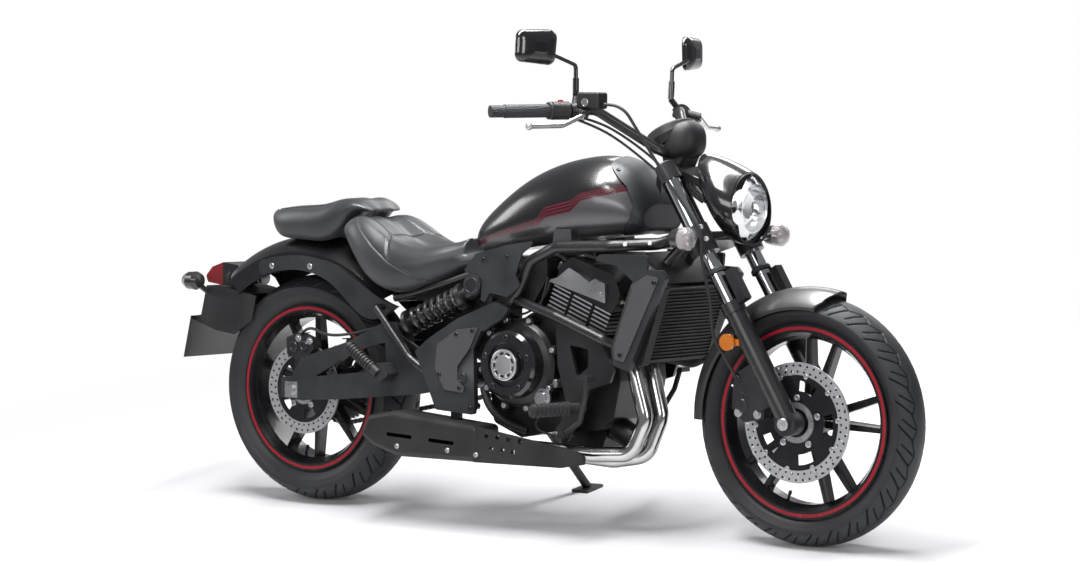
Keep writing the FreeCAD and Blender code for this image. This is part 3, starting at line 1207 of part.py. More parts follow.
def side_stand():
    """A leg from the frame's lug out to a flat foot, set at the angle that it parks at."""
    pivot, foot_at, axis = STAND_PIVOT, stand_foot(), stand_axis()
    long_x, wide, thick = STAND_FOOT
    pad = Part.makeBox(long_x, wide, thick, V(-long_x / 2, -wide / 2, 0))
    pad.rotate(V(0, 0, 0), V(1, 0, 0), LEAN)
    pad.translate(foot_at)
    knuckle = rod(pivot - axis * 10, pivot + axis * 10, 18)
    leg = rod(pivot, foot_at + V(0, 0, thick), STAND_LEG_R)
    hole = rod(pivot - axis * 30, pivot + axis * 30, 6 + FIT)
    floor = Part.makeBox(400, 600, 60, V(-200, -300, -60))
    floor.rotate(V(0, 0, 0), V(1, 0, 0), LEAN)
    floor.translate(foot_at)
    above = rod(pivot - axis * 60, pivot - axis * 10, 60)
    save("side_stand", [fused([pad, knuckle, leg]).cut(hole).cut(floor).cut(above)])


def unpark(point, left):
    """The place, in upright axes, of a point that lies on the floor once the machine leans."""
    a = math.radians(LEAN)
    return V(point.x, left * math.cos(a), left * math.sin(a))


def save(name, shapes):
    """Lean a node's solids over, move them to the object's origin and write them."""
    solids = [s for shape in shapes for s in shape.Solids]
    made = Part.makeCompound(solids) if len(solids) > 1 else solids[0]
    made = park(made)
    made.exportStep(os.path.join("parts", name + ".step"))
    NODES.append((name, made))


NODES = []


def park(shape):
    shape = shape.copy()
    shape.rotate(V(0, 0, 0), V(1, 0, 0), -LEAN)
    shape.translate(V(-ORIGIN_X, -ORIGIN_Y, 0))
    return shape


ORIGIN_X = (WHEELBASE + FRONT_TYRE_R - REAR_OVERHANG) / 2
ORIGIN_Y = BAR_END.z * math.sin(math.radians(LEAN))

os.makedirs("parts", exist_ok=True)
front_wheel()
rear_wheel()
chain()
chain_guard()
fork()
clamps()
handlebar()
lamp_cowl()
instrument()
front_signals()
front_fender()
front_caliper()
reflectors()
brake_hose()
frame()
frame_side_covers()
under_seat()
crankcase()
cylinders()
engine_covers()
radiator()
shrouds()
muffler()
fuel_tank()
seats()
rear_fender()
fender_rails()
tail()
swingarm()
shock()
rear_caliper()
footpegs()
side_stand()
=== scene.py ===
import math

import bmesh
import bpy
import numpy as np
from mathutils import Matrix, Vector
from mathutils.bvhtree import BVHTree


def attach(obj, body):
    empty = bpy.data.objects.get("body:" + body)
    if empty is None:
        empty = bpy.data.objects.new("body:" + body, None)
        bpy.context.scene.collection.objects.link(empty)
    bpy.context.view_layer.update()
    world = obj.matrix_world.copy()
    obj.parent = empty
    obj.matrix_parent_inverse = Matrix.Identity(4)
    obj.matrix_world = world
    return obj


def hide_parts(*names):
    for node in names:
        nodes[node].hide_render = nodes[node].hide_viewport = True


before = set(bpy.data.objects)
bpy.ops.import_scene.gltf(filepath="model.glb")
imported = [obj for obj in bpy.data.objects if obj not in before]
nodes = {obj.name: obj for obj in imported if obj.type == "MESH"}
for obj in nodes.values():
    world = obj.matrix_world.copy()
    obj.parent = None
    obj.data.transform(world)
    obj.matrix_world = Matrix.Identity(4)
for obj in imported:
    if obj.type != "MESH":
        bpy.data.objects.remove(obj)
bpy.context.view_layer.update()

# The stance. The machine is drawn upright, X forward from the rear axle, Y to the rider's left and Z up from
# the ground. It is then parked: shifted, and leaned nine degrees to its left on the side stand.
lean = math.radians(9.0)
parking_place = Vector((-0.7318, -0.167855, 0.0))
parked = Matrix.Translation(parking_place) @ Matrix.Rotation(-lean, 4, "X")

# The camera, on the photograph's side and height, some eight and a half metres away with a long lens. It
# looks a little down at the right front quarter and is rolled by half a degree.
focal_length, picture_width, sensor_width = 3198.68, 1080.0, 36.0
camera_data = bpy.data.cameras.new("camera")
camera_data.sensor_width = sensor_width
camera_data.lens = focal_length * sensor_width / picture_width
camera_data.clip_end = 200.0
camera = bpy.data.objects.new("camera", camera_data)
bpy.context.scene.collection.objects.link(camera)
azimuth, elevation, roll = math.radians(35.8562), math.radians(2.8215), math.radians(0.5676)
back = Vector((math.sin(azimuth) * math.cos(elevation), -math.cos(azimuth) * math.cos(elevation),
               math.sin(elevation)))
level = Vector((0, 0, 1)).cross(back).normalized()
upward = back.cross(level)
across = level * math.cos(roll) + upward * math.sin(roll)
upright = upward * math.cos(roll) - level * math.sin(roll)
aim = Matrix((across, upright, back)).transposed().to_4x4()
camera.matrix_world = parked @ Matrix.Translation((5.66894, -6.8235, 1.02611)) @ aim
bpy.context.scene.camera = camera
bpy.context.scene.view_settings.view_transform = "Standard"


# The studio floor: one wide sheet of pale matte paper. Near the machine it keeps the shadow; further out it
# glows for the camera alone, and so runs into the white wall without an edge.
def new_material(name, **sockets):
    """A Principled material, with the plain values of its own sockets."""
    made = bpy.data.materials.new(name)
    made.use_nodes = True
    shader = made.node_tree.nodes["Principled BSDF"]
    for socket, value in sockets.items():
        shader.inputs[socket.replace("_", " ")].default_value = value
    return made


def add_node(tree, kind, links=None, **settings):
    """A node with its settings, and each input set to a number or joined to another node's socket."""
    made = tree.nodes.new(kind)
    for key, value in settings.items():
        setattr(made, key, value)
    for socket, value in (links or {}).items():
        if isinstance(value, bpy.types.NodeSocket):
            tree.links.new(value, made.inputs[socket])
        else:
            made.inputs[socket].default_value = value
    return made


def maths(tree, operation, a, b=0.0, c=0.0):
    """The result of one sum on numbers or sockets."""
    return add_node(tree, "ShaderNodeMath", {0: a, 1: b, 2: c}, operation=operation).outputs[0]


def place_of(tree):
    """Where a point of the surface lies, in the parked machine's frame."""
    return add_node(tree, "ShaderNodeTexCoord").outputs["Object"]


floor_reach = 30
corners = [(x * floor_reach, y * floor_reach, 0) for x, y in ((-1, -1), (1, -1), (1, 1), (-1, 1))]
floor_mesh = bpy.data.meshes.new("studio_floor")
floor_mesh.from_pydata(corners, [], [(0, 1, 2, 3)])
floor = bpy.data.objects.new("studio_floor", floor_mesh)
bpy.context.scene.collection.objects.link(floor)
paper = new_material("studio_paper", Base_Color=(0.62, 0.62, 0.63, 1), Roughness=0.85)
tree = paper.node_tree
from_middle = add_node(tree, "ShaderNodeVectorMath", {0: place_of(tree)}, operation="LENGTH").outputs["Value"]
fade = add_node(tree, "ShaderNodeMapRange", {"Value": from_middle, "From Min": 1.3, "From Max": 2.8,
                                             "To Min": 0.04}, interpolation_type="SMOOTHSTEP")
camera_sees = add_node(tree, "ShaderNodeLightPath").outputs["Is Camera Ray"]
glow = add_node(tree, "ShaderNodeEmission", {"Color": (1, 1, 1, 1), "Strength": 1.0})
faded = add_node(tree, "ShaderNodeMixShader", {0: maths(tree, "MULTIPLY", camera_sees, fade.outputs[0]),
                                               1: tree.nodes["Principled BSDF"].outputs[0],
                                               2: glow.outputs[0]})
tree.links.new(faded.outputs[0], tree.nodes["Material Output"].inputs["Surface"])
floor_mesh.materials.append(paper)

# The studio light: a dim grey room that the camera and glass see as white, a long softbox overhead, one on
# each side, one ahead and one behind. Each is (place, aim, width and height, watts).
world = bpy.data.worlds.new("studio_room")
bpy.context.scene.world = world
world.use_nodes = True
tree = world.node_tree
room = tree.nodes["Background"]
room.inputs["Color"].default_value = (0.93, 0.95, 1.0, 1)
room.inputs["Strength"].default_value = 0.24
white = add_node(tree, "ShaderNodeBackground", {"Color": (1, 1, 1, 1), "Strength": 1.0})
ray = add_node(tree, "ShaderNodeLightPath")
seen = maths(tree, "MAXIMUM", ray.outputs["Is Camera Ray"], ray.outputs["Is Transmission Ray"])
choose = add_node(tree, "ShaderNodeMixShader", {0: seen, 1: room.outputs[0], 2: white.outputs[0]})
tree.links.new(choose.outputs[0], tree.nodes["World Output"].inputs["Surface"])
for name, place, target, size, power in (
        ("softbox_top", (0.1, -0.05, 3.0), (0.0, -0.05, 0.5), (3.2, 0.8), 250.0),
        ("softbox_right", (0.6, -4.4, 2.6), (0.1, 0.0, 0.6), (3.2, 1.1), 56.0),
        ("softbox_front", (4.8, -1.6, 2.0), (0.9, 0.0, 0.6), (1.2, 2.0), 44.0),
        ("softbox_left", (-0.6, 4.2, 2.4), (0.0, 0.0, 0.6), (3.2, 1.2), 50.0),
        ("softbox_rear", (-4.2, -1.2, 2.1), (-0.6, 0.0, 0.6), (1.4, 1.8), 44.0)):
    lamp_data = bpy.data.lights.new(name, "AREA")
    lamp_data.shape = "RECTANGLE"
    lamp_data.size, lamp_data.size_y = size
    lamp_data.energy = power
    lamp = bpy.data.objects.new(name, lamp_data)
    lamp.location = place
    lamp.rotation_euler = (Vector(target) - Vector(place)).to_track_quat("-Z", "Y").to_euler()
    bpy.context.scene.collection.objects.link(lamp)


# Frame: welded steel tubes under satin black powder coat with a fine orange peel. Bright plugs close the
# mounting holes in its upper tubes, two on each side.
def new_group(name, inputs, outputs):
    """An empty shader group with named sockets: (name, kind, starting value)."""
    tree = bpy.data.node_groups.new(name, "ShaderNodeTree")
    for label, kind, value in inputs:
        socket = tree.interface.new_socket(label, in_out="INPUT", socket_type="NodeSocket" + kind)
        socket.default_value = value
    for label, kind in outputs:
        tree.interface.new_socket(label, in_out="OUTPUT", socket_type="NodeSocket" + kind)
    return tree, tree.nodes.new("NodeGroupInput"), tree.nodes.new("NodeGroupOutput")


def place_group(tree, group, **values):
    """One use of a shared group, with its own values or joined sockets."""
    links = {socket.replace("_", " "): value for socket, value in values.items()}
    return add_node(tree, "ShaderNodeGroup", links, node_tree=group)


def ramp(tree, value, low, high, start=0.0, stop=1.0):
    """From start to stop in a straight line while the value goes from low to high."""
    return add_node(tree, "ShaderNodeMapRange", {"Value": value, "From Min": low, "From Max": high,
                                                 "To Min": start, "To Max": stop}).outputs[0]


def mixed(tree, share, first, second):
    """The first colour where the share is zero, passing into the second where it is one."""
    first, second = ((*colour, 1) if isinstance(colour, tuple) else colour for colour in (first, second))
    return add_node(tree, "ShaderNodeMix", {0: share, 6: first, 7: second}, data_type="RGBA").outputs[2]


def feed(material, **sources):
    """Join sockets to the inputs of the material's own shader."""
    tree = material.node_tree
    for socket, source in sources.items():
        tree.links.new(source, tree.nodes["Principled BSDF"].inputs[socket.replace("_", " ")])


# Fine grain: quick noise for the height of the surface, and slow patches for its colour and gloss.
grain, grain_in, grain_out = new_group(
    "surface_grain", [("Scale", "Float", 400.0), ("Patch Scale", "Float", 9.0)],
    [("Height", "Float"), ("Patch", "Float")])
spot = place_of(grain)
fine = add_node(grain, "ShaderNodeTexNoise", {"Vector": spot, "Scale": grain_in.outputs["Scale"],
                                              "Detail": 3.0, "Roughness": 0.6})
slow = add_node(grain, "ShaderNodeTexNoise", {"Vector": spot, "Scale": grain_in.outputs["Patch Scale"],
                                              "Detail": 4.0, "Roughness": 0.55})
grain.links.new(fine.outputs[0], grain_out.inputs["Height"])
grain.links.new(slow.outputs[0], grain_out.inputs["Patch"])


def finish_surface(material, dark, light, gloss, scale, depth, distance=0.0004, patch=9.0):
    """Slow patches of colour and gloss under a fine grain. Gives back what the finish is made of."""
    tree = material.node_tree
    surface = place_group(tree, grain, Scale=scale, Patch_Scale=patch)
    colour = mixed(tree, ramp(tree, surface.outputs["Patch"], 0.3, 0.7), dark, light)
    roughness = ramp(tree, surface.outputs["Patch"], 0.3, 0.7, *gloss)
    bump = add_node(tree, "ShaderNodeBump", {"Strength": depth, "Distance": distance,
                                             "Height": surface.outputs["Height"]})
    feed(material, Base_Color=colour, Roughness=roughness, Normal=bump.outputs[0])
    return {"colour": colour, "roughness": roughness, "height": surface.outputs["Height"], "bump": bump}


def finished(name, dark, light, gloss, scale, depth, distance=0.0004, **sockets):
    """A material that is only its grained finish."""
    material = new_material(name, **sockets)
    finish_surface(material, dark, light, gloss, scale, depth, distance)
    return material


def dress(node, material):
    """Give a carried-over CAD node its finish."""
    mesh = nodes[node].data
    mesh.materials.clear()
    mesh.materials.append(material)
    mesh.shade_smooth()
    mesh.set_sharp_from_angle(angle=math.radians(32.0))


def add_piece(name, points, faces, material, body, smooth=True, sharp=35.0):
    """A mesh drawn upright in metres, parked with the machine and set to move with its body."""
    mesh = bpy.data.meshes.new(name)
    mesh.from_pydata([parked @ Vector(p) for p in points], [], faces)
    mesh.materials.append(material)
    if smooth:
        mesh.shade_smooth()
        mesh.set_sharp_from_angle(angle=math.radians(sharp))
    piece = bpy.data.objects.new(name, mesh)
    bpy.context.scene.collection.objects.link(piece)
    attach(piece, body)
    return piece


def skin(first, rings, count, closed=False):
    """Faces between rings of points that follow one another, each ring with as many points."""
    faces = []
    for ring in range(rings if closed else rings - 1):
        low, high = first + ring * count, first + (ring + 1) % rings * count
        faces += [(low + k, low + (k + 1) % count, high + (k + 1) % count, high + k) for k in range(count)]
    return faces


def ring_of(centre, axis, side, radius, height, count):
    """Points round an axis, at a height along it."""
    other = axis.cross(side)
    angles = [2 * math.pi * k / count for k in range(count)]
    return [centre + axis * height + (side * math.cos(t) + other * math.sin(t)) * radius for t in angles]


round_head = [(1.0, -0.5, False), (1.0, 0.72, False), (0.86, 1.0, False), (0.56, 1.0, True),
              (0.52, 0.45, True), (0.0, 0.4, True)]
hexagon_head = [(1.35, -0.5, False), (1.35, 0.12, False), (1.0, 0.14, True), (1.0, 0.86, True),
                (0.84, 1.0, False), (0.0, 1.0, False)]


def bolts(name, places, radius, height, material, body, head=round_head):
    """Like bolts as one piece, sized in millimetres. Each place is a spot on the surface and the way out of
    it. A head is rings of (share of the radius, share of the height, six-sided or not)."""
    points, faces, count = [], [], 24
    turns = [2 * math.pi * k / count % (math.pi / 3) - math.pi / 6 for k in range(count)]
    for centre, way in places:
        axis = Vector(way).normalized()
        side = axis.orthogonal().normalized()
        faces += skin(len(points), len(head), count)
        for r, h, six_sided in head:
            middle = Vector(centre) + axis * (height / 1000 * h)
            ring = ring_of(middle, axis, side, radius / 1000 * r, 0.0, count)
            if six_sided:
                ring = [middle + (p - middle) * (math.cos(math.pi / 6) / math.cos(t))
                        for p, t in zip(ring, turns)]
            points += ring
    return add_piece(name, points, faces, material, body, sharp=30.0)


faces_of = {}


def met(node, start, way):
    """Where a straight line first meets a CAD node, and the way out of its face there."""
    if node not in faces_of:
        mesh = nodes[node].data
        faces_of[node] = BVHTree.FromPolygons([v.co for v in mesh.vertices],
                                              [p.vertices[:] for p in mesh.polygons])
    point, face_way, _, _ = faces_of[node].ray_cast(parked @ Vector(start), parked.to_3x3() @ Vector(way))
    if point is None:
        raise ValueError(f"no face of {node} on the line from {start}")
    return parked.inverted() @ point, parked.to_3x3().inverted() @ face_way


def outside(node, spots, sides=(-1, 1)):
    """Seats on a node's outer faces, at (forward, up) in millimetres: side -1 is the right and 1 the left."""
    return [met(node, (x / 1000, side * 0.7, z / 1000), (0, -side, 0)) for side in sides for x, z in spots]


satin_black = finished("satin_black_coat", (0.007, 0.007, 0.008), (0.013, 0.013, 0.014), (0.28, 0.40),
                       650, 0.16, Specular_IOR_Level=0.5, Coat_Weight=0.12, Coat_Roughness=0.3)
dress("frame", satin_black)
zinc = finished("zinc_bolt", (0.40, 0.40, 0.41), (0.62, 0.62, 0.63), (0.22, 0.36), 1500, 0.12, Metallic=0.85)
bolts("frame_plugs", outside("frame", [(1102, 741), (1160, 745)]), 5.8, 3, zinc, "chassis")

# Engine: an upright twin. The cast case is painted satin black over sand-cast grain, and so are the barrels,
# whose fins have their outer edges machined bare. The rocker cover is satin bare alloy, held by small bolts.
engine_black = finished("engine_black_coat", (0.006, 0.006, 0.007), (0.014, 0.014, 0.015), (0.30, 0.44),
                        420, 0.35, 0.0006, Metallic=0.3, Specular_IOR_Level=0.5)
dress("crankcase", engine_black)
upright_spot, _, upright_out = new_group(
    "upright_spot", [], [("Ahead", "Float"), ("Across", "Float"), ("Up", "Float")])
moved = add_node(upright_spot, "ShaderNodeVectorMath", {0: place_of(upright_spot), 1: tuple(parking_place)},
                 operation="SUBTRACT")
stood = add_node(upright_spot, "ShaderNodeVectorRotate", {"Vector": moved.outputs[0], "Angle": lean},
                 rotation_type="X_AXIS")
parts = add_node(upright_spot, "ShaderNodeSeparateXYZ", {0: stood.outputs[0]})
for label, part in zip(("Ahead", "Across", "Up"), parts.outputs):
    upright_spot.links.new(part, upright_out.inputs[label])
fin_paint = new_material("finned_barrel_coat", Specular_IOR_Level=0.5)
finish = finish_surface(fin_paint, (0.005, 0.005, 0.006), (0.010, 0.010, 0.011), (0.32, 0.44), 420, 0.3)
tree = fin_paint.node_tree
from_middle = maths(tree, "ABSOLUTE", place_group(tree, upright_spot).outputs["Across"])
bare_edge = ramp(tree, from_middle, 0.1172, 0.1178)
feed(fin_paint, Base_Color=mixed(tree, bare_edge, finish["colour"], (0.66, 0.66, 0.67)), Metallic=bare_edge)
dress("cylinders", fin_paint)
bare_alloy = finished("satin_bare_alloy", (0.42, 0.42, 0.43), (0.60, 0.60, 0.61), (0.26, 0.38), 700, 0.15,
                      Metallic=0.95)
dress("head_cover", bare_alloy)
bolts("rocker_cover_bolts", outside("head_cover", [(1018, 612), (905, 655)]), 5.5, 3, zinc, "chassis")

# Engine covers: cast covers in the same black, with a polished round face over the clutch and a bare slotted
# disc in its middle. Small bolts hold each cover to the case, and two caps close the oil's openings.
wheel_spot, wheel_in, wheel_out = new_group(
    "wheel_spot", [("Axle", "Vector", (0, 0, 0))],
    [("Radius", "Float"), ("Across", "Float"), ("Turn", "Float")])
away = add_node(wheel_spot, "ShaderNodeVectorMath", {0: place_of(wheel_spot), 1: wheel_in.outputs["Axle"]},
                operation="SUBTRACT")
stood = add_node(wheel_spot, "ShaderNodeVectorRotate", {"Vector": away.outputs[0], "Angle": lean},
                 rotation_type="X_AXIS")
ahead, sideways, up = add_node(wheel_spot, "ShaderNodeSeparateXYZ", {0: stood.outputs[0]}).outputs
squares = maths(wheel_spot, "ADD", maths(wheel_spot, "MULTIPLY", ahead, ahead),
                maths(wheel_spot, "MULTIPLY", up, up))
wheel_spot.links.new(maths(wheel_spot, "SQRT", squares), wheel_out.inputs["Radius"])
wheel_spot.links.new(sideways, wheel_out.inputs["Across"])
wheel_spot.links.new(maths(wheel_spot, "ARCTAN2", up, ahead), wheel_out.inputs["Turn"])


def band(tree, value, low, high, soft):
    """One inside the two limits and zero outside, with soft edges."""
    return maths(tree, "MULTIPLY", ramp(tree, value, low - soft, low + soft),
                 ramp(tree, value, high + soft, high - soft))


clutch = Vector((0.774, 0.0, 0.422))
cover_black = new_material("engine_cover_coat", Metallic=0.3, Coat_Roughness=0.06)
finish = finish_surface(cover_black, (0.006, 0.006, 0.007), (0.013, 0.013, 0.014), (0.28, 0.42), 420, 0.25)
tree = cover_black.node_tree
where = place_group(tree, wheel_spot, Axle=parked @ clutch)
polished = maths(tree, "MULTIPLY", band(tree, where.outputs["Radius"], 0.0, 0.0875, 0.0006),
                 maths(tree, "LESS_THAN", where.outputs["Across"], -0.15))
glossier = add_node(tree, "ShaderNodeMix", {0: polished, 2: finish["roughness"], 3: 0.14})
feed(cover_black, Coat_Weight=polished, Roughness=glossier.outputs[0])
dress("engine_covers", cover_black)

black_bolt = finished("black_bolt", (0.020, 0.020, 0.021), (0.045, 0.045, 0.047), (0.28, 0.42), 1500, 0.15,
                      Metallic=0.6)
disc_face, slot_floor, land = -0.2055, -0.0028, -0.0040
slots, count = 9, 72
between_slots = [abs(k / count * slots % 1 - 0.5) > 0.32 for k in range(count)]
outline = [(0.0405, 0.0), (0.0405, -0.0030), (0.0385, land), (0.0345, land), (0.0335, slot_floor),
           (0.0262, slot_floor), (0.0250, land), (0.0, -0.0042)]
disc_points = []
for r, y in outline:
    for k in range(count):
        t = 2 * math.pi * k / count
        depth = land if y == slot_floor and between_slots[k] else y
        disc_points.append((clutch.x + r * math.cos(t), disc_face + depth, clutch.z + r * math.sin(t)))
medallion = add_piece("clutch_medallion", disc_points, skin(0, len(outline), count), bare_alloy, "chassis",
                      sharp=20.0)
medallion.data.materials.append(black_bolt)
slot_ring = 4 * count
for k in range(count):
    medallion.data.polygons[slot_ring + k].material_index = 0 if between_slots[k] else 1


def circle(x, z, radius, angles):
    """Places on a circle, as (forward, up), at angles in degrees."""
    return [(x + radius * math.cos(math.radians(t)), z + radius * math.sin(math.radians(t))) for t in angles]


def turned(name, places, outline, material, body, count=32, sharp=30.0):
    """Like turned shapes in one piece. A place is a centre and a way, the outline (radius, height) in mm."""
    points, faces = [], []
    for centre, way in places:
        axis = Vector(way).normalized()
        side = axis.orthogonal().normalized()
        faces += skin(len(points), len(outline), count)
        for r, h in outline:
            points += ring_of(Vector(centre), axis, side, r / 1000, h / 1000, count)
    return add_piece(name, points, faces, material, body, sharp=sharp)


to_right = Vector((0, -1, 0))
bolts("clutch_ring_bolts", outside("engine_covers", circle(774, 422, 70, (90, 162, 234, 306, 18)), (-1,)),
      7.5, 5, black_bolt, "chassis")
rim = circle(770, 422, 118, (72, 108, 140, 190, 215, 250, 285, 330, 20))
turned("clutch_cover_bosses", [((x / 1000, -0.105, z / 1000), to_right) for x, z in rim],
       [(13, -2), (13, 36), (11.5, 38), (0, 38)], engine_black, "chassis")
bolts("clutch_cover_bolts", [((x / 1000, -0.143, z / 1000), to_right) for x, z in rim], 7.2, 5, zinc,
      "chassis")
bolts("oil_filler_cap", outside("engine_covers", [(858, 338)], (-1,)), 18.5, 10, bare_alloy, "chassis",
      hexagon_head)
turned("oil_level_cap", [((0.884, -0.105, 0.376), to_right)],
       [(12, -2), (12, 30), (10, 33), (6, 33), (5, 31), (0, 31)], bare_alloy, "chassis")
bolts("generator_cover_bolts", outside("engine_covers", circle(826, 402, 66, range(20, 380, 45)), (1,)),
      6.5, 5, zinc, "chassis")
bolts("sprocket_cover_bolts", outside("engine_covers", [
    (684, 326), (728, 322), (684, 456), (722, 456)], (1,)), 6.5, 5, zinc, "chassis")

# Throttle bodies: two black castings between the air box and the head, one for each cylinder. Each is pushed
# on a stub and held there by a bright band clamp.
stub_way = Vector((0.91, 0.0, -0.36))
stubs = [((0.8445, y, 0.6765), stub_way) for y in (-0.048, 0.048)]
turned("throttle_bodies", stubs, [(22, -6), (22, 10), (26, 12), (26, 24), (22, 26), (22, 62)], engine_black,
       "chassis")
turned("throttle_clamps", stubs, [(22.2, 2), (24, 2), (24, 8), (22.2, 8)], zinc, "chassis")


# Radiator: a black core of thin folded fins behind a guard of moulded slats, between satin grey shrouds that
# are screwed to the frame. Above it two moulded walls and a baffle lead the air under the lower clamp.
def raise_by(finish, height, distance, strength=None):
    """Another height for the finish's bump."""
    bump = finish["bump"]
    bump.id_data.links.new(height, bump.inputs["Height"])
    bump.inputs["Distance"].default_value = distance
    if strength is not None:
        bump.inputs["Strength"].default_value = strength


core_black = new_material("radiator_core", Specular_IOR_Level=0.22)
finish = finish_surface(core_black, (0.005, 0.005, 0.005), (0.009, 0.009, 0.009), (0.42, 0.54), 900, 0.2)
tree = core_black.node_tree
_, sideways, _ = add_node(tree, "ShaderNodeSeparateXYZ", {0: place_of(tree)}).outputs
raise_by(finish, maths(tree, "SINE", maths(tree, "MULTIPLY", sideways, 2600.0)), 0.0012)
dress("radiator", core_black)
core_low, core_up = Vector((1.172, 0, 0.442)), Vector((0.3011, 0, 0.9536))
core_ahead = Vector((0.9536, 0, -0.3011))
slats, lowest_slat, slat_step, slat_reach = 21, 0.010, 0.009, 0.1325
slat_points, slat_faces = [], []
for k in range(slats):
    middle = core_low + core_up * (lowest_slat + slat_step * k)
    slat_faces += skin(len(slat_points), 2, 4)
    for y in (-slat_reach, slat_reach):
        slat_points += [middle + core_ahead * ahead + core_up * up + Vector((0, y, 0)) for ahead, up in (
            (-0.001, -0.0022), (0.0045, -0.0012), (0.0045, 0.0012), (-0.001, 0.0022))]
add_piece("radiator_slats", slat_points, slat_faces, core_black, "chassis", sharp=20.0)
dark_grey = finished("satin_dark_grey", (0.018, 0.019, 0.021), (0.030, 0.032, 0.035), (0.38, 0.50), 800, 0.20,
                     Specular_IOR_Level=0.45, Metallic=0.25)
dress("radiator_shrouds", dark_grey)


def slab(first, count):
    """Faces of a flat plate: its outline, the same outline on its other side and the edge between them."""
    edge = [(first + k, first + count + k, first + count + (k + 1) % count, first + (k + 1) % count)
            for k in range(count)]
    here = tuple(first + k for k in range(count))
    there = tuple(first + count + k for k in reversed(range(count)))
    return [here, there, *edge]


def plates(name, outline, spans, material, bevel=1.5):
    """Flat plates on the chassis with one outline along the machine, at several spans across it, in mm."""
    points, faces = [], []
    for span in spans:
        faces += slab(len(points), len(outline))
        points += [(x / 1000, y / 1000, z / 1000) for y in span for x, z in outline]
    piece = add_piece(name, points, faces, material, "chassis", smooth=False)
    working = bmesh.new()
    working.from_mesh(piece.data)
    bmesh.ops.recalc_face_normals(working, faces=working.faces)
    edges = [e for e in working.edges if e.calc_face_angle(0) > 0.5]
    bmesh.ops.bevel(working, geom=edges, offset=bevel / 1000, segments=2, profile=0.5, affect="EDGES")
    working.to_mesh(piece.data)
    working.free()
    piece.data.shade_smooth()
    piece.data.set_sharp_from_angle(angle=math.radians(30))


moulded = finished("moulded_black_plastic", (0.008, 0.008, 0.009), (0.015, 0.015, 0.016), (0.42, 0.56),
                   1400, 0.35, Specular_IOR_Level=0.42)
plates("radiator_duct_walls", [(1050, 700), (1060, 722), (1150, 724), (1166, 700), (1196, 650), (1150, 640),
                               (1096, 690)], [(-122, -118), (118, 122)], moulded)
plates("radiator_duct_baffle", [(1140, 722), (1147, 722), (1219, 645), (1213, 641)], [(-118, 118)], moulded,
       bevel=0.8)

# Hoses and wires round the engine: black rubber water hoses, the breather and the plug leads, pushed on their
# stubs, and three thin wires in sleeves. All run as the photograph shows them or by the shortest way.
soft_rubber = finished("soft_black_rubber", (0.014, 0.014, 0.015), (0.024, 0.025, 0.027), (0.48, 0.62),
                       1100, 0.4, Specular_IOR_Level=0.35)


def pipe(name, routes, radius, body):
    """Rubber hoses or cables in one piece, each bent smoothly by its points in millimetres."""
    curve = bpy.data.curves.new(name, "CURVE")
    curve.dimensions = "3D"
    curve.bevel_depth = radius / 1000
    curve.bevel_resolution = 3
    curve.use_fill_caps = True
    curve.resolution_u = 8
    for route in routes:
        spline = curve.splines.new("NURBS")
        spline.points.add(len(route) - 1)
        for point, place in zip(spline.points, route):
            point.co = (*(parked @ (Vector(place) / 1000)), 1.0)
        spline.use_endpoint_u = True
        spline.order_u = 3
    curve.materials.append(soft_rubber)
    piece = bpy.data.objects.new(name, curve)
    bpy.context.scene.collection.objects.link(piece)
    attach(piece, body)


pipe("water_hose_right", [
    [(655, -132, 352), (668, -138, 318), (700, -136, 282), (742, -124, 256), (775, -104, 246)]], 11, "chassis")
pipe("radiator_hoses", [
    [(1216, -146, 640), (1196, -146, 672), (1150, -142, 690), (1090, -128, 676), (1056, -100, 650)],
    [(1160, 146, 444), (1130, 148, 424), (1104, 140, 430), (1066, 104, 440)]], 13, "chassis")
pipe("breather_hose", [
    [(905, -96, 684), (892, -112, 706), (866, -116, 712), (838, -112, 700)],
    [(960, 92, 668), (930, 112, 700), (880, 116, 714), (840, 112, 700)]], 7, "chassis")
pipe("plug_leads", [
    [(930, -40, 706), (940, -96, 712), (990, -124, 704), (1040, -116, 700)],
    [(968, -60, 680), (990, -112, 690), (1030, -126, 690), (1070, -116, 696)],
    [(930, 40, 706), (960, 96, 712), (1020, 116, 706), (1066, 110, 700)]], 3.6, "chassis")
pipe("engine_wires", [
    [(700, -128, 560), (742, -128, 546), (790, -126, 552), (842, -122, 590), (858, -121, 640)],
    [(696, -126, 548), (740, -132, 532), (800, -128, 540), (838, -126, 580), (852, -124, 650)],
    [(840, -128, 300), (812, -134, 262), (860, -128, 240), (900, -110, 236)]], 3.2, "chassis")
turned("plug_caps", [((0.925, y, 0.704), (-0.36, 0, 0.93)) for y in (-0.04, 0.04)],
       [(12, -12), (12, 2), (9, 4), (9, 10), (5, 13), (0, 13)], soft_rubber, "chassis")

# Header pipes: polished stainless steel, bent from the front of the head to under the engine. The heat at the
# ports has coloured them a little; flange nuts hold them to the head.
header_steel = new_material("polished_header_steel", Metallic=1.0)
finish = finish_surface(header_steel, (0.44, 0.43, 0.42), (0.60, 0.59, 0.58), (0.10, 0.18), 200, 0.04)
tree = header_steel.node_tree
_, _, height = add_node(tree, "ShaderNodeSeparateXYZ", {0: place_of(tree)}).outputs
heated = ramp(tree, height, 0.42, 0.6, 0.0, 0.6)
feed(header_steel, Base_Color=mixed(tree, heated, finish["colour"], (0.50, 0.38, 0.24)))
dress("header_pipes", header_steel)
bolts("header_flange_nuts", [((1.058, y, 0.596), (0.76, 0, -0.65)) for y in (-0.092, -0.032, 0.020, 0.080)],
      7, 8, zinc, "chassis", hexagon_head)
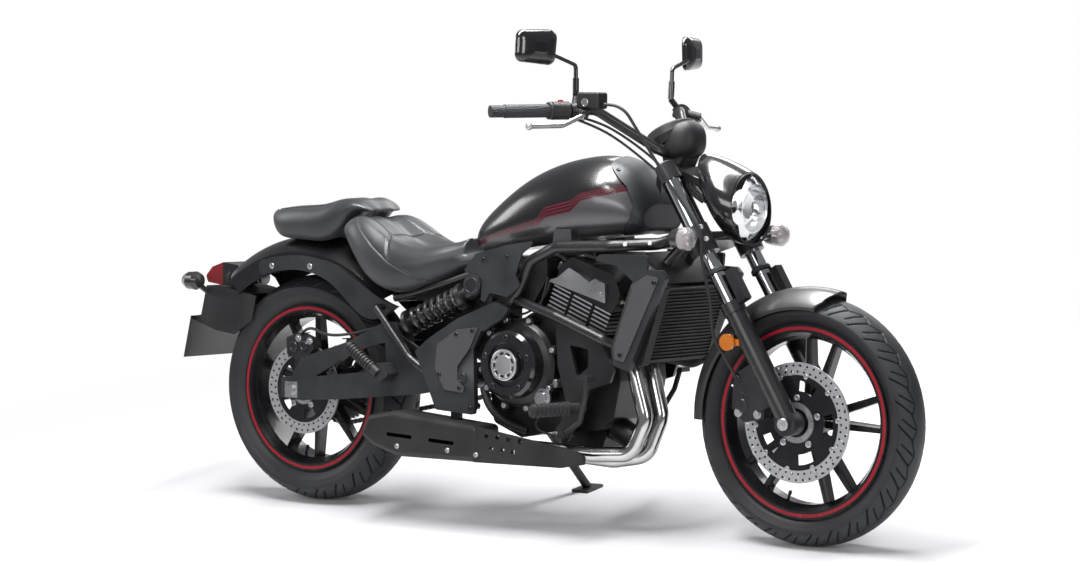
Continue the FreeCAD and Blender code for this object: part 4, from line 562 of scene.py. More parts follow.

# Muffler: pressed steel under matte heat-proof black, hung below the right side. Its shield has two long
# slots, with painted shade on the body inside them, and is held by small bolts along its lower edge.
muffler_black = new_material("muffler_heat_black", Specular_IOR_Level=0.35)
finish = finish_surface(muffler_black, (0.010, 0.010, 0.010), (0.018, 0.018, 0.019), (0.42, 0.54), 900, 0.30)
tree = muffler_black.node_tree
where = place_group(tree, upright_spot)
behind_shield = maths(tree, "GREATER_THAN", where.outputs["Across"], -0.2128)
# painted shade: inside the shield's two slots the body is coloured near black and loses its gloss.
painted_slot_shade = maths(tree, "MULTIPLY", behind_shield, band(tree, where.outputs["Up"], 0.199, 0.229, 0.0008))
painted_slot_shade = maths(tree, "MULTIPLY", painted_slot_shade, band(tree, where.outputs["Ahead"], 0.392, 0.624, 0.0008))
feed(muffler_black, Base_Color=mixed(tree, painted_slot_shade, finish["colour"], (0.001, 0.001, 0.001)),
     Specular_IOR_Level=ramp(tree, painted_slot_shade, 0.0, 1.0, 0.35, 0.0))
dress("muffler", muffler_black)
bolts("muffler_bolts", outside("muffler", [(432, 190), (600, 190), (690, 184)], (-1,)), 6.8, 5, zinc,
      "chassis")

# Joint covers: moulded plates over the frame's joints, in dark grey satin paint, with round buttons and a
# ring on each side. Flat plates in a grey paint with fine metal flake are let into them and held by screws.
flake, flake_in, flake_out = new_group(
    "metal_flake", [("Scale", "Float", 2600.0)], [("Glint", "Float"), ("Height", "Float")])
cells = add_node(flake, "ShaderNodeTexVoronoi", {"Vector": place_of(flake),
                                                 "Scale": flake_in.outputs["Scale"]})
glint, height, _ = add_node(flake, "ShaderNodeSeparateColor", {0: cells.outputs["Color"]}).outputs
flake.links.new(glint, flake_out.inputs["Glint"])
flake.links.new(height, flake_out.inputs["Height"])


def flaked_paint(name, dark, light, roughness, coat):
    """Paint whose fine metal flakes each catch the light in their own way."""
    material = new_material(name, Metallic=0.7, Roughness=roughness, Coat_Weight=coat, Coat_Roughness=0.12)
    tree = material.node_tree
    flakes = place_group(tree, flake, Scale=2600.0)
    bump = add_node(tree, "ShaderNodeBump", {"Strength": 0.10, "Distance": 0.0002,
                                             "Height": flakes.outputs["Height"]})
    feed(material, Base_Color=mixed(tree, flakes.outputs["Glint"], dark, light), Normal=bump.outputs[0])
    return material


dress("frame_covers", dark_grey)
dress("cover_inserts", flaked_paint("inset_plate_paint", (0.075, 0.072, 0.074), (0.130, 0.126, 0.130),
                                    0.42, 0.20))
bolts("inset_plate_screws", outside("cover_inserts", [
    (595, 492), (648, 503), (540, 384), (606, 352), (1122, 464), (1222, 650)]), 6.2, 2.8, black_bolt,
      "chassis")
bolts("pivot_cover_screws", outside("frame_covers", [(760, 700), (684, 690), (640, 300)]), 6, 3, black_bolt,
      "chassis")
turned("joint_cover_buttons", outside("frame_covers", [(613, 379)]),
       [(14, -1), (14, 2.5), (12, 4), (9, 4), (8, 2.5), (0, 2.5)], black_bolt, "chassis")
turned("shock_cover_rings", outside("frame_covers", [(650, 623)]),
       [(21, -1), (21, 1.5), (19.5, 2.5), (18, 1.5), (18, 0.6), (0, 0.6)], satin_black, "chassis")

# Boxes and inner guard: the air box and the tray under the seats are moulded black plastic. So is the guard
# that keeps the rear wheel's dirt off the engine; it has raised ribs on both sides.
dress("inner_boxes", moulded)
rib_spans = [(-63, -59.5), (59.5, 63)]
plates("inner_guard", [(478, 612), (520, 622), (560, 630), (640, 642), (642, 430), (610, 415), (560, 424),
                       (500, 470)], [(-60, 60)], moulded, bevel=8)
plates("inner_guard_ribs", [(500, 600), (636, 610), (636, 604), (500, 594)], rib_spans, moulded, bevel=0.6)
plates("inner_guard_low_ribs", [(506, 500), (636, 500), (636, 494), (506, 494)], rib_spans, moulded,
       bevel=0.6)

# Rear suspension: a box-section swingarm in dark grey paint with a bare alloy axle through its ends. A shock
# absorber in a gloss black coil spring lies on the right, and a plastic guard covers the chain's top run.
dress("swingarm", dark_grey)
dress("rear_axle", bare_alloy)
dress("chain_guard", moulded)
dress("shock_absorber", satin_black)
dress("shock_spring", finished("spring_black", (0.010, 0.010, 0.011), (0.016, 0.016, 0.017), (0.24, 0.34),
                               500, 0.05, Coat_Weight=0.5, Coat_Roughness=0.15))

# Fork: hard chromed tubes, ground and polished, in black coated sliders and clamps. Rubber seals close the
# sliders and bright caps the tubes; pinch bolts hold the lower clamp, and bright caps end the axle.
front_axle = Vector((1.575, 0.0, 0.3126))
rake, leg_across = math.radians(31.0), 0.105
fork_way = Vector((-math.sin(rake), 0, math.cos(rake)))
fork_front = Vector((math.cos(rake), 0, math.sin(rake)))


def fork_spot(along, ahead, across):
    """A point measured up the fork leg and ahead of it from the front axle."""
    return front_axle + fork_way * along + fork_front * ahead + Vector((0, across, 0))


dress("fork_tubes", finished("hard_chrome", (0.46, 0.46, 0.48), (0.62, 0.62, 0.64), (0.05, 0.11), 260, 0.02,
                             Metallic=1.0))
dress("fork_sliders", satin_black)
dress("triple_clamps", satin_black)
turned("fork_seals", [(fork_spot(0.421, 0, side * leg_across), fork_way) for side in (-1, 1)],
       [(26.5, 0), (26.5, 8), (24, 12), (21.2, 14), (20.8, 13)], soft_rubber, "steering", count=48)
turned("fork_caps", [(fork_spot(0.736, 0, side * leg_across), fork_way) for side in (-1, 1)],
       [(20, -4), (20, 3), (16, 5), (9, 5), (8, 3), (0, 3)], bare_alloy, "steering", count=48)
bolts("clamp_bolts", [(fork_spot(along, 0.030, side * 0.128), (0.35, side * 0.9, 0.1))
                      for along in (0.506, 0.540) for side in (-1, 1)], 6.5, 6, zinc, "steering")
turned("front_axle_ends", outside("fork_sliders", [(1575, 312.6)]),
       [(15, -2), (15, 3), (13.5, 4.5), (8, 4.5), (7, 1), (0, 1)], bare_alloy, "steering", count=36)

# Tyres: vulcanised black rubber, with a rounded crown between smooth side walls that carry thin moulded
# rings. The mould has pressed sweeping grooves into the crown, which is a little greyer than the walls;
# the grooves get painted shade.
rear_axle = Vector((0.0, 0.0, 0.3119))
groove_depth, lip_width, wall_foot, seat_gap = 0.0040, 0.0073, 0.016, 0.0003
wall_steps, crown_steps, turn_steps = 8, 84, 720


def rubber_of(name, axle, tread_edge):
    """Black rubber with fine rings under the tread's edge, greyer on the crown, with painted shade in the
    grooves.
    """
    material = new_material(name, Specular_IOR_Level=0.38)
    finish = finish_surface(material, (0.010, 0.010, 0.011), (0.018, 0.019, 0.021), (0.46, 0.62), 900, 0.35)
    tree = material.node_tree
    radius = place_group(tree, wheel_spot, Axle=parked @ axle).outputs["Radius"]
    rings = maths(tree, "MULTIPLY", maths(tree, "SINE", maths(tree, "MULTIPLY", radius, 2400.0)),
                  band(tree, radius, tread_edge - 0.022, tread_edge - 0.008, 0.001))
    raise_by(finish, maths(tree, "ADD", finish["height"], maths(tree, "MULTIPLY", rings, 2.5)), 0.0004)
    greyer_crown = mixed(tree, ramp(tree, radius, tread_edge, tread_edge + 0.01, 0.0, 0.55), finish["colour"],
                 (0.034, 0.036, 0.040))
    groove = add_node(tree, "ShaderNodeAttribute", attribute_name="groove").outputs["Fac"]
    # painted shade: the tread's grooves are coloured near black.
    feed(material, Base_Color=mixed(tree, groove, greyer_crown, (0.003, 0.003, 0.0035)))
    return material


def tread_depth(turn, side, pitches):
    """How far the mould presses, as a share, at a turn of the wheel and a place across the crown (-1 to 1):
    a zigzag on each side of the middle, and two sweeping grooves to each pitch."""
    reach = np.abs(side)
    step = (turn * pitches / (2 * math.pi) + np.where(side < 0, 0.5, 0.0)) % 1.0
    zigzag = 0.27 + 0.16 * np.abs(2 * step - 1)
    depth = np.clip((0.027 - np.abs(reach - zigzag)) / 0.014, 0, 1)
    for offset, bend, start, stop, wide in ((0.02, 1.15, 0.40, 0.97, 0.046), (0.52, 0.95, 0.27, 0.84, 0.038)):
        phase = (step + offset - bend * np.abs(reach - 0.27) ** 1.3) % 1.0
        groove = np.clip((wide - np.minimum(phase, 1 - phase)) / 0.026, 0, 1)
        groove *= np.clip((reach - start) / 0.04, 0, 1)
        groove *= np.clip((stop - reach) / 0.05, 0, 1)
        depth = np.maximum(depth, groove)
    return depth


def tyre(name, node, body, axle, radius, width, crown_radius, bead_radius, rim_width, pitches):
    """Turned from bead to bead about the axle, with the tread pressed into the crown."""
    half, bead = width / 2, rim_width / 2 - lip_width
    edge = math.asin(half / crown_radius)
    side_low, shoulder = bead_radius + wall_foot, radius - crown_radius * (1 - math.cos(edge))
    wall = [(-bead, bead_radius + seat_gap)]
    for k in range(wall_steps + 1):
        t = k / wall_steps
        wall.append((-bead - (half - bead) * math.sin(t * math.pi / 2) ** 0.9,
                     side_low + (shoulder - side_low) * t))
    on_crown = [2 * k / crown_steps - 1 for k in range(1, crown_steps)]
    crown = [(crown_radius * math.sin(edge * s), radius - crown_radius * (1 - math.cos(edge * s)))
             for s in on_crown]
    profile = np.array(wall + crown + [(-y, r) for y, r in reversed(wall)])
    side = np.array([-2.0] * len(wall) + on_crown + [2.0] * len(wall))[None, :]
    turn = np.linspace(0, 2 * math.pi, turn_steps, endpoint=False)[:, None]
    groove = tread_depth(turn + 0 * side, side + 0 * turn, pitches) * (np.abs(side) <= 1.0)
    ys = profile[:, 0] - groove * groove_depth * np.sin(edge * np.clip(side, -1, 1))
    rs = profile[:, 1] - groove * groove_depth * np.cos(edge * side * 0.5)
    points = np.stack([axle.x + rs * np.cos(turn), axle.y + ys, axle.z + rs * np.sin(turn)], -1)
    piece = add_piece(name, points.reshape(-1, 3).tolist(), skin(0, turn_steps, len(profile), closed=True),
                      rubber_of(name + "_rubber", axle, shoulder), body, sharp=50.0)
    # The groove depth is kept on the points for the rubber's painted shade in the grooves.
    piece.data.attributes.new("groove", "FLOAT", "POINT").data.foreach_set("value", groove.ravel())
    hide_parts(node)


tyre("front_tyre_treaded", "front_tyre", "front_wheel", front_axle, radius=0.3126, width=0.120,
     crown_radius=0.0675, bead_radius=0.2286, rim_width=0.092, pitches=30)
tyre("rear_tyre_treaded", "rear_tyre", "rear_wheel", rear_axle, radius=0.3119, width=0.160,
     crown_radius=0.111, bead_radius=0.2159, rim_width=0.132, pitches=26)


# Wheels: cast alloy with five pairs of spokes, in gloss black with a thin red line on each rim's flange. A
# short rubber valve stem, capped in the same rubber, stands inside each rim, between two pairs of spokes.
def wheel_paint(name, axle, low, high):
    """Gloss black, with the red line between two distances from the axle."""
    material = new_material(name, Coat_Weight=0.35, Coat_Roughness=0.08, Specular_IOR_Level=0.35)
    finish = finish_surface(material, (0.004, 0.004, 0.005), (0.008, 0.008, 0.009), (0.20, 0.32), 300, 0.06)
    tree = material.node_tree
    line = band(tree, place_group(tree, wheel_spot, Axle=parked @ axle).outputs["Radius"], low, high, 0.0004)
    feed(material, Base_Color=mixed(tree, line, finish["colour"], (0.24, 0.008, 0.016)))
    return material


dress("front_rim", wheel_paint("front_wheel_paint", front_axle, 0.2290, 0.2372))
dress("rear_rim", wheel_paint("rear_wheel_paint", rear_axle, 0.2165, 0.2245))
stem_turn = math.radians(252)
stem_way = Vector((-math.cos(stem_turn), 0, -math.sin(stem_turn)))
for end, axle, radius in (("front", front_axle, 0.2205), ("rear", rear_axle, 0.2080)):
    turned(end + "_valve_stem", [(axle - stem_way * radius, stem_way)],
           [(5, -4), (5, 4), (3.4, 8), (3.4, 22), (4.4, 23), (4.4, 31), (3, 33), (0, 33)], soft_rubber,
           end + "_wheel")


# Brake discs: stainless steel rings, ground in lines round the axle and drilled with small holes, which are
# drawn as dark dots of painted shade. They are bolted to the wheels, with a notched ring beside each hub that
# the wheel speed sensor reads.
def ground_steel(name, axle, rows, count):
    """Steel ground round the axle; its holes are painted shade, so many to each row: (radius, place in the
    step).
    """
    material = new_material(name, Metallic=0.9)
    tree = material.node_tree
    where = place_group(tree, wheel_spot, Axle=parked @ axle)
    radius, turn = where.outputs["Radius"], where.outputs["Turn"]
    along = add_node(tree, "ShaderNodeCombineXYZ", {0: maths(tree, "MULTIPLY", radius, 900.0),
                                                    1: maths(tree, "MULTIPLY", turn, 0.8)})
    lines = add_node(tree, "ShaderNodeTexNoise", {"Vector": along.outputs[0], "Scale": 1.0,
                                                  "Detail": 5.0}).outputs[0]
    # painted shade: each hole is a near-black dot painted on the steel.
    painted_hole_shade = 0.0
    for row, phase in rows:
        step = maths(tree, "FRACT", maths(tree, "MULTIPLY_ADD", turn, count / (2 * math.pi), phase + count))
        arc = maths(tree, "MULTIPLY", maths(tree, "SUBTRACT", step, 0.5), 2 * math.pi * row / count)
        off = maths(tree, "SUBTRACT", radius, row)
        far = maths(tree, "SQRT", maths(tree, "ADD", maths(tree, "MULTIPLY", arc, arc),
                                        maths(tree, "MULTIPLY", off, off)))
        painted_hole_shade = maths(tree, "MAXIMUM", painted_hole_shade, ramp(tree, far, 0.0033, 0.0028))
    steel = mixed(tree, lines, (0.42, 0.42, 0.43), (0.72, 0.72, 0.73))
    bump = add_node(tree, "ShaderNodeBump", {"Strength": 0.25, "Distance": 0.0002, "Height": lines})
    feed(material, Base_Color=mixed(tree, painted_hole_shade, steel, (0.012, 0.012, 0.013)),
         Roughness=ramp(tree, lines, 0.0, 1.0, 0.24, 0.42), Normal=bump.outputs[0])
    return material


def around(axle, across, radius, count, phase, side=-1):
    """Places on a circle about an axle, facing out of its right side (-1) or its left (1)."""
    turns = [phase + 2 * math.pi * k / count for k in range(count)]
    return [((axle.x + radius * math.cos(t), across, axle.z + radius * math.sin(t)), (0, side, 0))
            for t in turns]


def speed_ring(name, axle, across, inner, outer, count, body):
    """A flat ring with notches in its rim."""
    thick, notch = 0.002, 0.004
    points = []
    for y, reach in ((across, inner), (across, outer), (across - thick, outer), (across - thick, inner)):
        for k in range(count * 2):
            t = math.pi * k / count
            r = reach if reach == inner or k % 2 else reach - notch
            points.append((axle.x + r * math.cos(t), y, axle.z + r * math.sin(t)))
    add_piece(name, points, skin(0, 4, count * 2, closed=True), zinc, body, sharp=20.0)


dress("front_disc", ground_steel("front_disc_steel", front_axle, ((0.127, 0.36), (0.142, 0.70)), 45))
dress("rear_disc", ground_steel("rear_disc_steel", rear_axle, ((0.101, 0.36), (0.116, 0.70)), 36))
bolts("front_disc_bolts", around(front_axle, -0.0735, 0.062, 5, 0.3), 8.5, 1.6, zinc, "front_wheel")
bolts("front_disc_buttons", around(front_axle, -0.0730, 0.1175, 10, 0.1), 6.5, 1.4, zinc, "front_wheel")
bolts("rear_disc_bolts", around(rear_axle, -0.087, 0.052, 5, 0.3), 8.5, 6, zinc, "rear_wheel")
speed_ring("front_speed_ring", front_axle, -0.0736, 0.036, 0.052, 48, "front_wheel")
speed_ring("rear_speed_ring", rear_axle, -0.0872, 0.034, 0.045, 44, "rear_wheel")

# Brakes: cast calipers in satin black, with caps over their pistons, bright bolts and bleed screws. Rubber
# hoses bring the fluid, one from the bar's box down the fork and one along the swingarm.
dress("front_caliper", satin_black)
dress("rear_caliper", satin_black)
dress("brake_hose", soft_rubber)
turned("front_caliper_caps", outside("front_caliper", [(1448, 392), (1440, 350)], (-1,)),
       [(17, -2), (17, 2), (15, 4), (11, 4), (10, 2.5), (0, 2.5)], satin_black, "steering")
bolts("front_caliper_bolts", outside("front_caliper", [(1478, 408), (1486, 330), (1430, 332)], (-1,)), 8.5, 6,
      zinc, "steering", hexagon_head)
turned("front_bleed_screws", [((1.424, -0.098, 0.412), (-0.7, 0, 0.7)),
                              ((1.417, -0.098, 0.392), (-0.9, 0, 0.3))],
       [(3.2, -6), (3.2, 6), (4.4, 7), (4.4, 10), (2.6, 12), (2.6, 17), (0, 17.5)], zinc, "steering")
turned("rear_caliper_caps", outside("rear_caliper", [(-14, 428), (24, 430)], (-1,)),
       [(15, -2), (15, 2), (13, 4), (9, 4), (8, 2.5), (0, 2.5)], satin_black, "chassis")
bolts("rear_caliper_bolts", outside("rear_caliper", [(4, 452), (44, 446)], (-1,)), 7.5, 6, zinc, "chassis",
      hexagon_head)
pipe("rear_brake_hose", [
    [(4, -100, 462), (40, -116, 490), (110, -120, 462), (210, -117, 474), (300, -117, 500), (380, -118, 470),
     (470, -118, 420), (560, -128, 420)]], 4, "chassis")

# Drive chain: oiled steel plates riveted over rollers, inner and outer links in turn, laid round the engine's
# sprocket and the rear one in place of the CAD's smooth band. Nuts hold the rear sprocket to its hub.
chain_steel = finished("oiled_chain_steel", (0.085, 0.078, 0.070), (0.21, 0.20, 0.185), (0.30, 0.50),
                       1200, 0.3, Metallic=0.9)
dress("rear_sprocket", chain_steel)
bolts("rear_sprocket_nuts", around(rear_axle, 0.101, 0.048, 6, 0.2, 1), 8, 8, zinc, "rear_wheel",
      hexagon_head)
engine_sprocket = Vector((0.682, 0.0, 0.385))
pitch, chain_across = 0.015875, 0.097
plate_round, plate_waist, plate_half = 0.0068, 0.0022, 0.001


def on_rim(axle, radius, turn):
    """A place on a circle about an axle, as (forward, up)."""
    return Vector((axle.x + radius * math.cos(turn), axle.z + radius * math.sin(turn)))


def chain_line(count):
    """Evenly spaced places along the top run, round the engine's sprocket, back below and round the rear."""
    big, small = (pitch / 2 / math.sin(math.pi / teeth) for teeth in (42, 15))
    run = engine_sprocket - rear_axle
    reach, slope = math.hypot(run.x, run.z), math.atan2(run.z, run.x)
    opening = math.acos((big - small) / reach)
    straight = math.sqrt(reach ** 2 - (big - small) ** 2)
    top, low = slope + opening, slope - opening
    lengths = (straight, small * 2 * opening, straight, big * (2 * math.pi - 2 * opening))
    places = []
    for k in range(count):
        gone, part = sum(lengths) * k / count, 0
        while gone >= lengths[part]:
            gone -= lengths[part]
            part += 1
        if part == 0:
            start, stop = on_rim(rear_axle, big, top), on_rim(engine_sprocket, small, top)
            places.append(start.lerp(stop, gone / straight))
        elif part == 1:
            places.append(on_rim(engine_sprocket, small, top - gone / small))
        elif part == 2:
            start, stop = on_rim(engine_sprocket, small, low), on_rim(rear_axle, big, low)
            places.append(start.lerp(stop, gone / straight))
        else:
            places.append(on_rim(rear_axle, big, low - gone / big))
    return places


def link_outline(here, there):
    """A plate's outline: round about its two pins, and narrower at its waist."""
    along = (there - here).normalized()
    up = Vector((-along.z, 0, along.x))
    ends = [[centre + along * (plate_round * math.cos(start + math.pi * j / 6))
             + up * (plate_round * math.sin(start + math.pi * j / 6)) for j in range(7)]
            for centre, start in ((here, math.pi / 2), (there, -math.pi / 2))]
    below = (ends[0][6] + ends[1][0]) / 2 + up * plate_waist
    above = (ends[1][6] + ends[0][0]) / 2 - up * plate_waist
    return [*ends[0], below, *ends[1], above]


pins = [Vector((x, 0, z)) for x, z in chain_line(116)]
roller = ((-0.0088, 0.0026), (-0.0046, 0.0026), (-0.0046, 0.0050), (0.0046, 0.0050), (0.0046, 0.0026),
          (0.0088, 0.0026))
link_points, link_faces = [], []
for k, pin in enumerate(pins):
    outline = link_outline(pin, pins[(k + 1) % len(pins)])
    plate_across = 0.0052 if k % 2 else 0.0076
    for side in (-1, 1):
        link_faces += slab(len(link_points), len(outline))
        for y in (plate_across - plate_half, plate_across + plate_half):
            link_points += [(p.x, chain_across + side * y, p.z) for p in outline]
    first = len(link_points)
    link_faces += skin(first, len(roller), 8)
    link_faces += [tuple(first + j for j in range(8)), tuple(first + 40 + j for j in reversed(range(8)))]
    for y, r in roller:
        link_points += [(pin.x + r * math.cos(t), chain_across + y, pin.z + r * math.sin(t))
                        for t in [j * math.pi / 4 for j in range(8)]]
links = add_piece("chain_links", link_points, link_faces, chain_steel, "chassis", sharp=30.0)
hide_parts("chain")

# Front fender: a moulding in graphite paint with metal flake, screwed between the fork's legs. The amber
# reflectors on its sides are clear plastic over small prisms.
dress("front_fender", flaked_paint("graphite_flake_paint", (0.040, 0.039, 0.040), (0.085, 0.083, 0.084),
                                   0.38, 0.35))
amber = new_material("amber_reflector", Coat_Weight=0.8, Coat_Roughness=0.06)
finish = finish_surface(amber, (0.36, 0.09, 0.006), (0.52, 0.16, 0.012), (0.20, 0.30), 600, 0.2)
tree = amber.node_tree
prisms = add_node(tree, "ShaderNodeTexVoronoi", {"Vector": place_of(tree), "Scale": 420.0})
raise_by(finish, prisms.outputs["Distance"], 0.001)
dress("reflectors", amber)

# Fuel tank: pressed steel, gloss black above and metallic graphite below, parted on both sides by a stepped
# band of four thin dark-red lines under lacquer. Grey trims are screwed to its edges, and the filler's lid
# has a round lock.
tank_paint = new_material("two_tone_tank_paint", Coat_Weight=0.7, Coat_Roughness=0.16)
tree = tank_paint.node_tree
where = place_group(tree, upright_spot)


def stepped_line(tree, along, corners):
    """The height of a line of straight runs at each place along the tank. Its corners are in millimetres."""
    height = corners[0][1] / 1000
    for (x0, z0), (x1, z1) in zip(corners, corners[1:]):
        height = maths(tree, "ADD", height, ramp(tree, along, x0 / 1000, x1 / 1000, 0.0, (z1 - z0) / 1000))
    return height


upper = stepped_line(tree, where.outputs["Ahead"], (
    (560, 724), (692, 762), (827, 797), (858, 829), (941, 849), (965, 867), (1041, 884), (1110, 896)))
lower = stepped_line(tree, where.outputs["Ahead"], (
    (560, 713), (692, 747), (833, 783), (858, 803), (938, 820), (970, 849), (1051, 868), (1110, 882)))
in_band = maths(tree, "DIVIDE", maths(tree, "SUBTRACT", where.outputs["Up"], lower),
                maths(tree, "SUBTRACT", upper, lower))
below = ramp(tree, in_band, -0.02, 0.02, 1.0, 0.0)
red_lines, line_half = 0.0, 0.045
for middle in (0.04, 0.35, 0.66, 0.96):
    red_lines = maths(tree, "ADD", red_lines,
                      band(tree, in_band, middle - line_half, middle + line_half, 0.03))
glint = place_group(tree, flake, Scale=3000.0).outputs["Glint"]
two_tone = mixed(tree, below, (0.0035, 0.0036, 0.0040),
                 mixed(tree, glint, (0.065, 0.063, 0.066), (0.125, 0.122, 0.128)))
banded = mixed(tree, band(tree, in_band, 0.0, 1.0, 0.02), two_tone, (0.020, 0.002, 0.004))
feed(tank_paint, Base_Color=mixed(tree, red_lines, banded, (0.14, 0.006, 0.020)),
     Metallic=maths(tree, "MULTIPLY", below, 0.75), Roughness=ramp(tree, below, 0.0, 1.0, 0.26, 0.42))
dress("fuel_tank", tank_paint)
dress("tank_trim", dark_grey)
dress("fuel_cap", dark_grey)
bolts("tank_trim_bolts", outside("tank_trim", [(1100, 789), (1041, 930)]), 5.8, 3, black_bolt, "chassis")


def atop(node, spots):
    """Seats on a node's upper faces, at (forward, left) in millimetres."""
    return [met(node, (x / 1000, y / 1000, 1.3), (0, 0, -1)) for x, y in spots]


turned("filler_lock", atop("fuel_cap", [(884, 70)]),
       [(11, -1), (11, 1.2), (9.5, 2), (4, 2), (3.4, 1), (0, 1)], bare_alloy, "fuel_cap")

# Seats: moulded foam under stitched black leather. Each is remeshed from its solid and softened, so that the
# cover rounds over the edges, then gets sewn channels with a row of stitches along each side.
leather_grain, leather_in, leather_out = new_group(
    "leather_grain", [("Scale", "Float", 320.0)], [("Height", "Float")])
spot = place_of(leather_grain)
pores = add_node(leather_grain, "ShaderNodeTexVoronoi", {
    "Vector": spot, "Scale": leather_in.outputs["Scale"]}, feature="DISTANCE_TO_EDGE")
creases = add_node(leather_grain, "ShaderNodeTexNoise", {"Vector": spot, "Scale": 26.0, "Detail": 5.0})
relief = maths(leather_grain, "ADD", maths(leather_grain, "MINIMUM", pores.outputs[0], 0.12),
               maths(leather_grain, "MULTIPLY", creases.outputs[0], 0.15))
leather_grain.links.new(relief, leather_out.inputs["Height"])


def leather(name, dark, light, scale):
    """Dyed leather, with pores of the given scale and slower creases."""
    material = new_material(name, Specular_IOR_Level=0.45, Sheen_Weight=0.08, Sheen_Roughness=0.5)
    finish = finish_surface(material, dark, light, (0.30, 0.42), 900, 0.35, patch=6.0)
    raise_by(finish, place_group(material.node_tree, leather_grain, Scale=scale).outputs["Height"], 0.0009)
    return material


seat_leather = leather("black_leather", (0.016, 0.017, 0.019), (0.028, 0.030, 0.033), 420.0)
panel_leather = leather("dark_panel_leather", (0.010, 0.011, 0.012), (0.018, 0.019, 0.021), 300.0)
thread = finished("seat_thread", (0.045, 0.047, 0.050), (0.075, 0.078, 0.082), (0.6, 0.75), 3000, 0.3)
channel_width, channel_depth = 0.0042, 0.0030
swell_place, swell_width, swell_height = 0.011, 0.006, 0.0009
stitch_place, stitch_length, stitch_wide, stitch_high = 0.0045, 0.0034, 0.0007, 0.0006
stitch_lift, shortest_step = 0.0001, 0.002


def soft_form(name, node, softness):
    """The seat's solid as one closed skin with rounded edges."""
    piece = bpy.data.objects.new(name, nodes[node].data.copy())
    bpy.context.scene.collection.objects.link(piece)
    remesh = piece.modifiers.new("remesh", "REMESH")
    remesh.mode = "VOXEL"
    remesh.voxel_size = 0.005
    soften = piece.modifiers.new("soften", "SMOOTH")
    soften.factor = 0.5
    soften.iterations = softness
    finer = piece.modifiers.new("finer", "SUBSURF")
    finer.levels = 1
    finer.render_levels = 1
    graph = bpy.context.evaluated_depsgraph_get()
    mesh = bpy.data.meshes.new_from_object(piece.evaluated_get(graph))
    piece.modifiers.clear()
    piece.data = mesh
    return piece


def laid_on(surface, seam):
    """A seam's places on the seat about every four millimetres, each with the way out of the surface."""
    path = []
    for a, b in zip(seam, seam[1:]):
        steps = max(2, int((Vector(b) - Vector(a)).length / 4))
        path += [Vector(a).lerp(Vector(b), k / steps) for k in range(steps)]
    path.append(Vector(seam[-1]))
    return [surface.find_nearest(parked @ (p / 1000))[:2] for p in path]


def press_seams(mesh, lines):
    """Sink a channel along each line and let the cover swell a little beside it."""
    points, normals = np.empty(len(mesh.vertices) * 3), np.empty(len(mesh.vertices) * 3)
    mesh.vertices.foreach_get("co", points)
    mesh.vertex_normals.foreach_get("vector", normals)
    points, normals = points.reshape(-1, 3), normals.reshape(-1, 3)
    press = np.zeros(len(points))
    for line in lines:
        for centre, _ in line:
            near = np.linalg.norm(points - np.array(centre), axis=1)
            channel = np.exp(-(near / channel_width) ** 2) * channel_depth
            swell = np.exp(-((near - swell_place) / swell_width) ** 2) * swell_height
            press = np.maximum(press, channel - swell)
    mesh.vertices.foreach_set("co", (points - normals * press[:, None]).ravel())


def stitches(name, surface, lines, body):
    """Short threads on the cover, in a row on each side of each line."""
    points, faces = [], []
    upright_place = parked.inverted()
    for line in lines:
        for k in range(0, len(line) - 2, 2):
            (here, normal), (there, _) = line[k], line[k + 1]
            if (there - here).length < shortest_step:
                continue
            along = (there - here).normalized()
            for side in (-1, 1):
                start = here + along.cross(normal).normalized() * (side * stitch_place)
                first = len(points)
                for place in (start, start + along * stitch_length):
                    centre, out = surface.find_nearest(place)[:2]
                    wide = along.cross(out).normalized()
                    for t in [2 * math.pi * j / 6 for j in range(6)]:
                        lift = out * (stitch_lift + stitch_high * math.sin(t))
                        points.append(upright_place @ (centre + lift + wide * (stitch_wide * math.cos(t))))
                faces += skin(first, 2, 6)
                faces.append(tuple(first + j for j in reversed(range(6))))
                faces.append(tuple(first + 6 + j for j in range(6)))
    add_piece(name, points, faces, thread, body)


def seat_cover(name, node, body, seams, panel, softness):
    """A covered seat. Seams are lists of points near its surface, and a panel tells where its leather is."""
    piece = soft_form(name, node, softness)
    mesh = piece.data
    surface = BVHTree.FromPolygons([v.co for v in mesh.vertices], [p.vertices[:] for p in mesh.polygons])
    lines = [laid_on(surface, seam) for seam in seams]
    press_seams(mesh, lines)
    mesh.shade_smooth()
    mesh.materials.clear()
    mesh.materials.append(seat_leather)
    if panel:
        mesh.materials.append(panel_leather)
        upright_place = parked.inverted()
        for polygon in mesh.polygons:
            if panel(upright_place @ polygon.center):
                polygon.material_index = 1
    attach(piece, body)
    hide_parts(node)
    stitches(name + "_stitches", surface, lines, body)


def both_sides(points):
    """A seam and its like on the other side."""
    return [points, [(x, -y, z) for x, y, z in points]]


def centre_panel(p):
    """Whether a place lies on the dark panel in the front of the rider's backrest."""
    return 0.2 < p.x < 0.295 and abs(p.y) < 0.07 + (p.x - 0.2) * 0.05 and p.z > 0.73


rider_seams = both_sides([
    (200, -98, 792), (222, -116, 770), (240, -127, 752), (268, -140, 732), (293, -147, 712), (346, -154, 676),
    (393, -152, 652), (434, -142, 628), (452, -134, 614)])
rider_seams += both_sides([
    (205, -66, 795), (235, -68, 787), (265, -70, 770), (294, -75, 750), (310, -95, 742), (322, -115, 736),
    (332, -135, 726), (340, -150, 704), (346, -155, 680)])
rider_seams += [[(294, y, 735 - abs(y) * 0.02) for y in range(-75, 80, 15)]]
seat_cover("rider_seat_covered", "rider_seat", "chassis", rider_seams, centre_panel, 7)
pillion_seams = both_sides([
    (-128, -40, 800), (-110, -58, 801), (-80, -76, 803), (-10, -88, 808), (60, -92, 812), (112, -93, 818)])
seat_cover("pillion_seat_covered", "pillion_seat", "chassis", pillion_seams, None, 14)

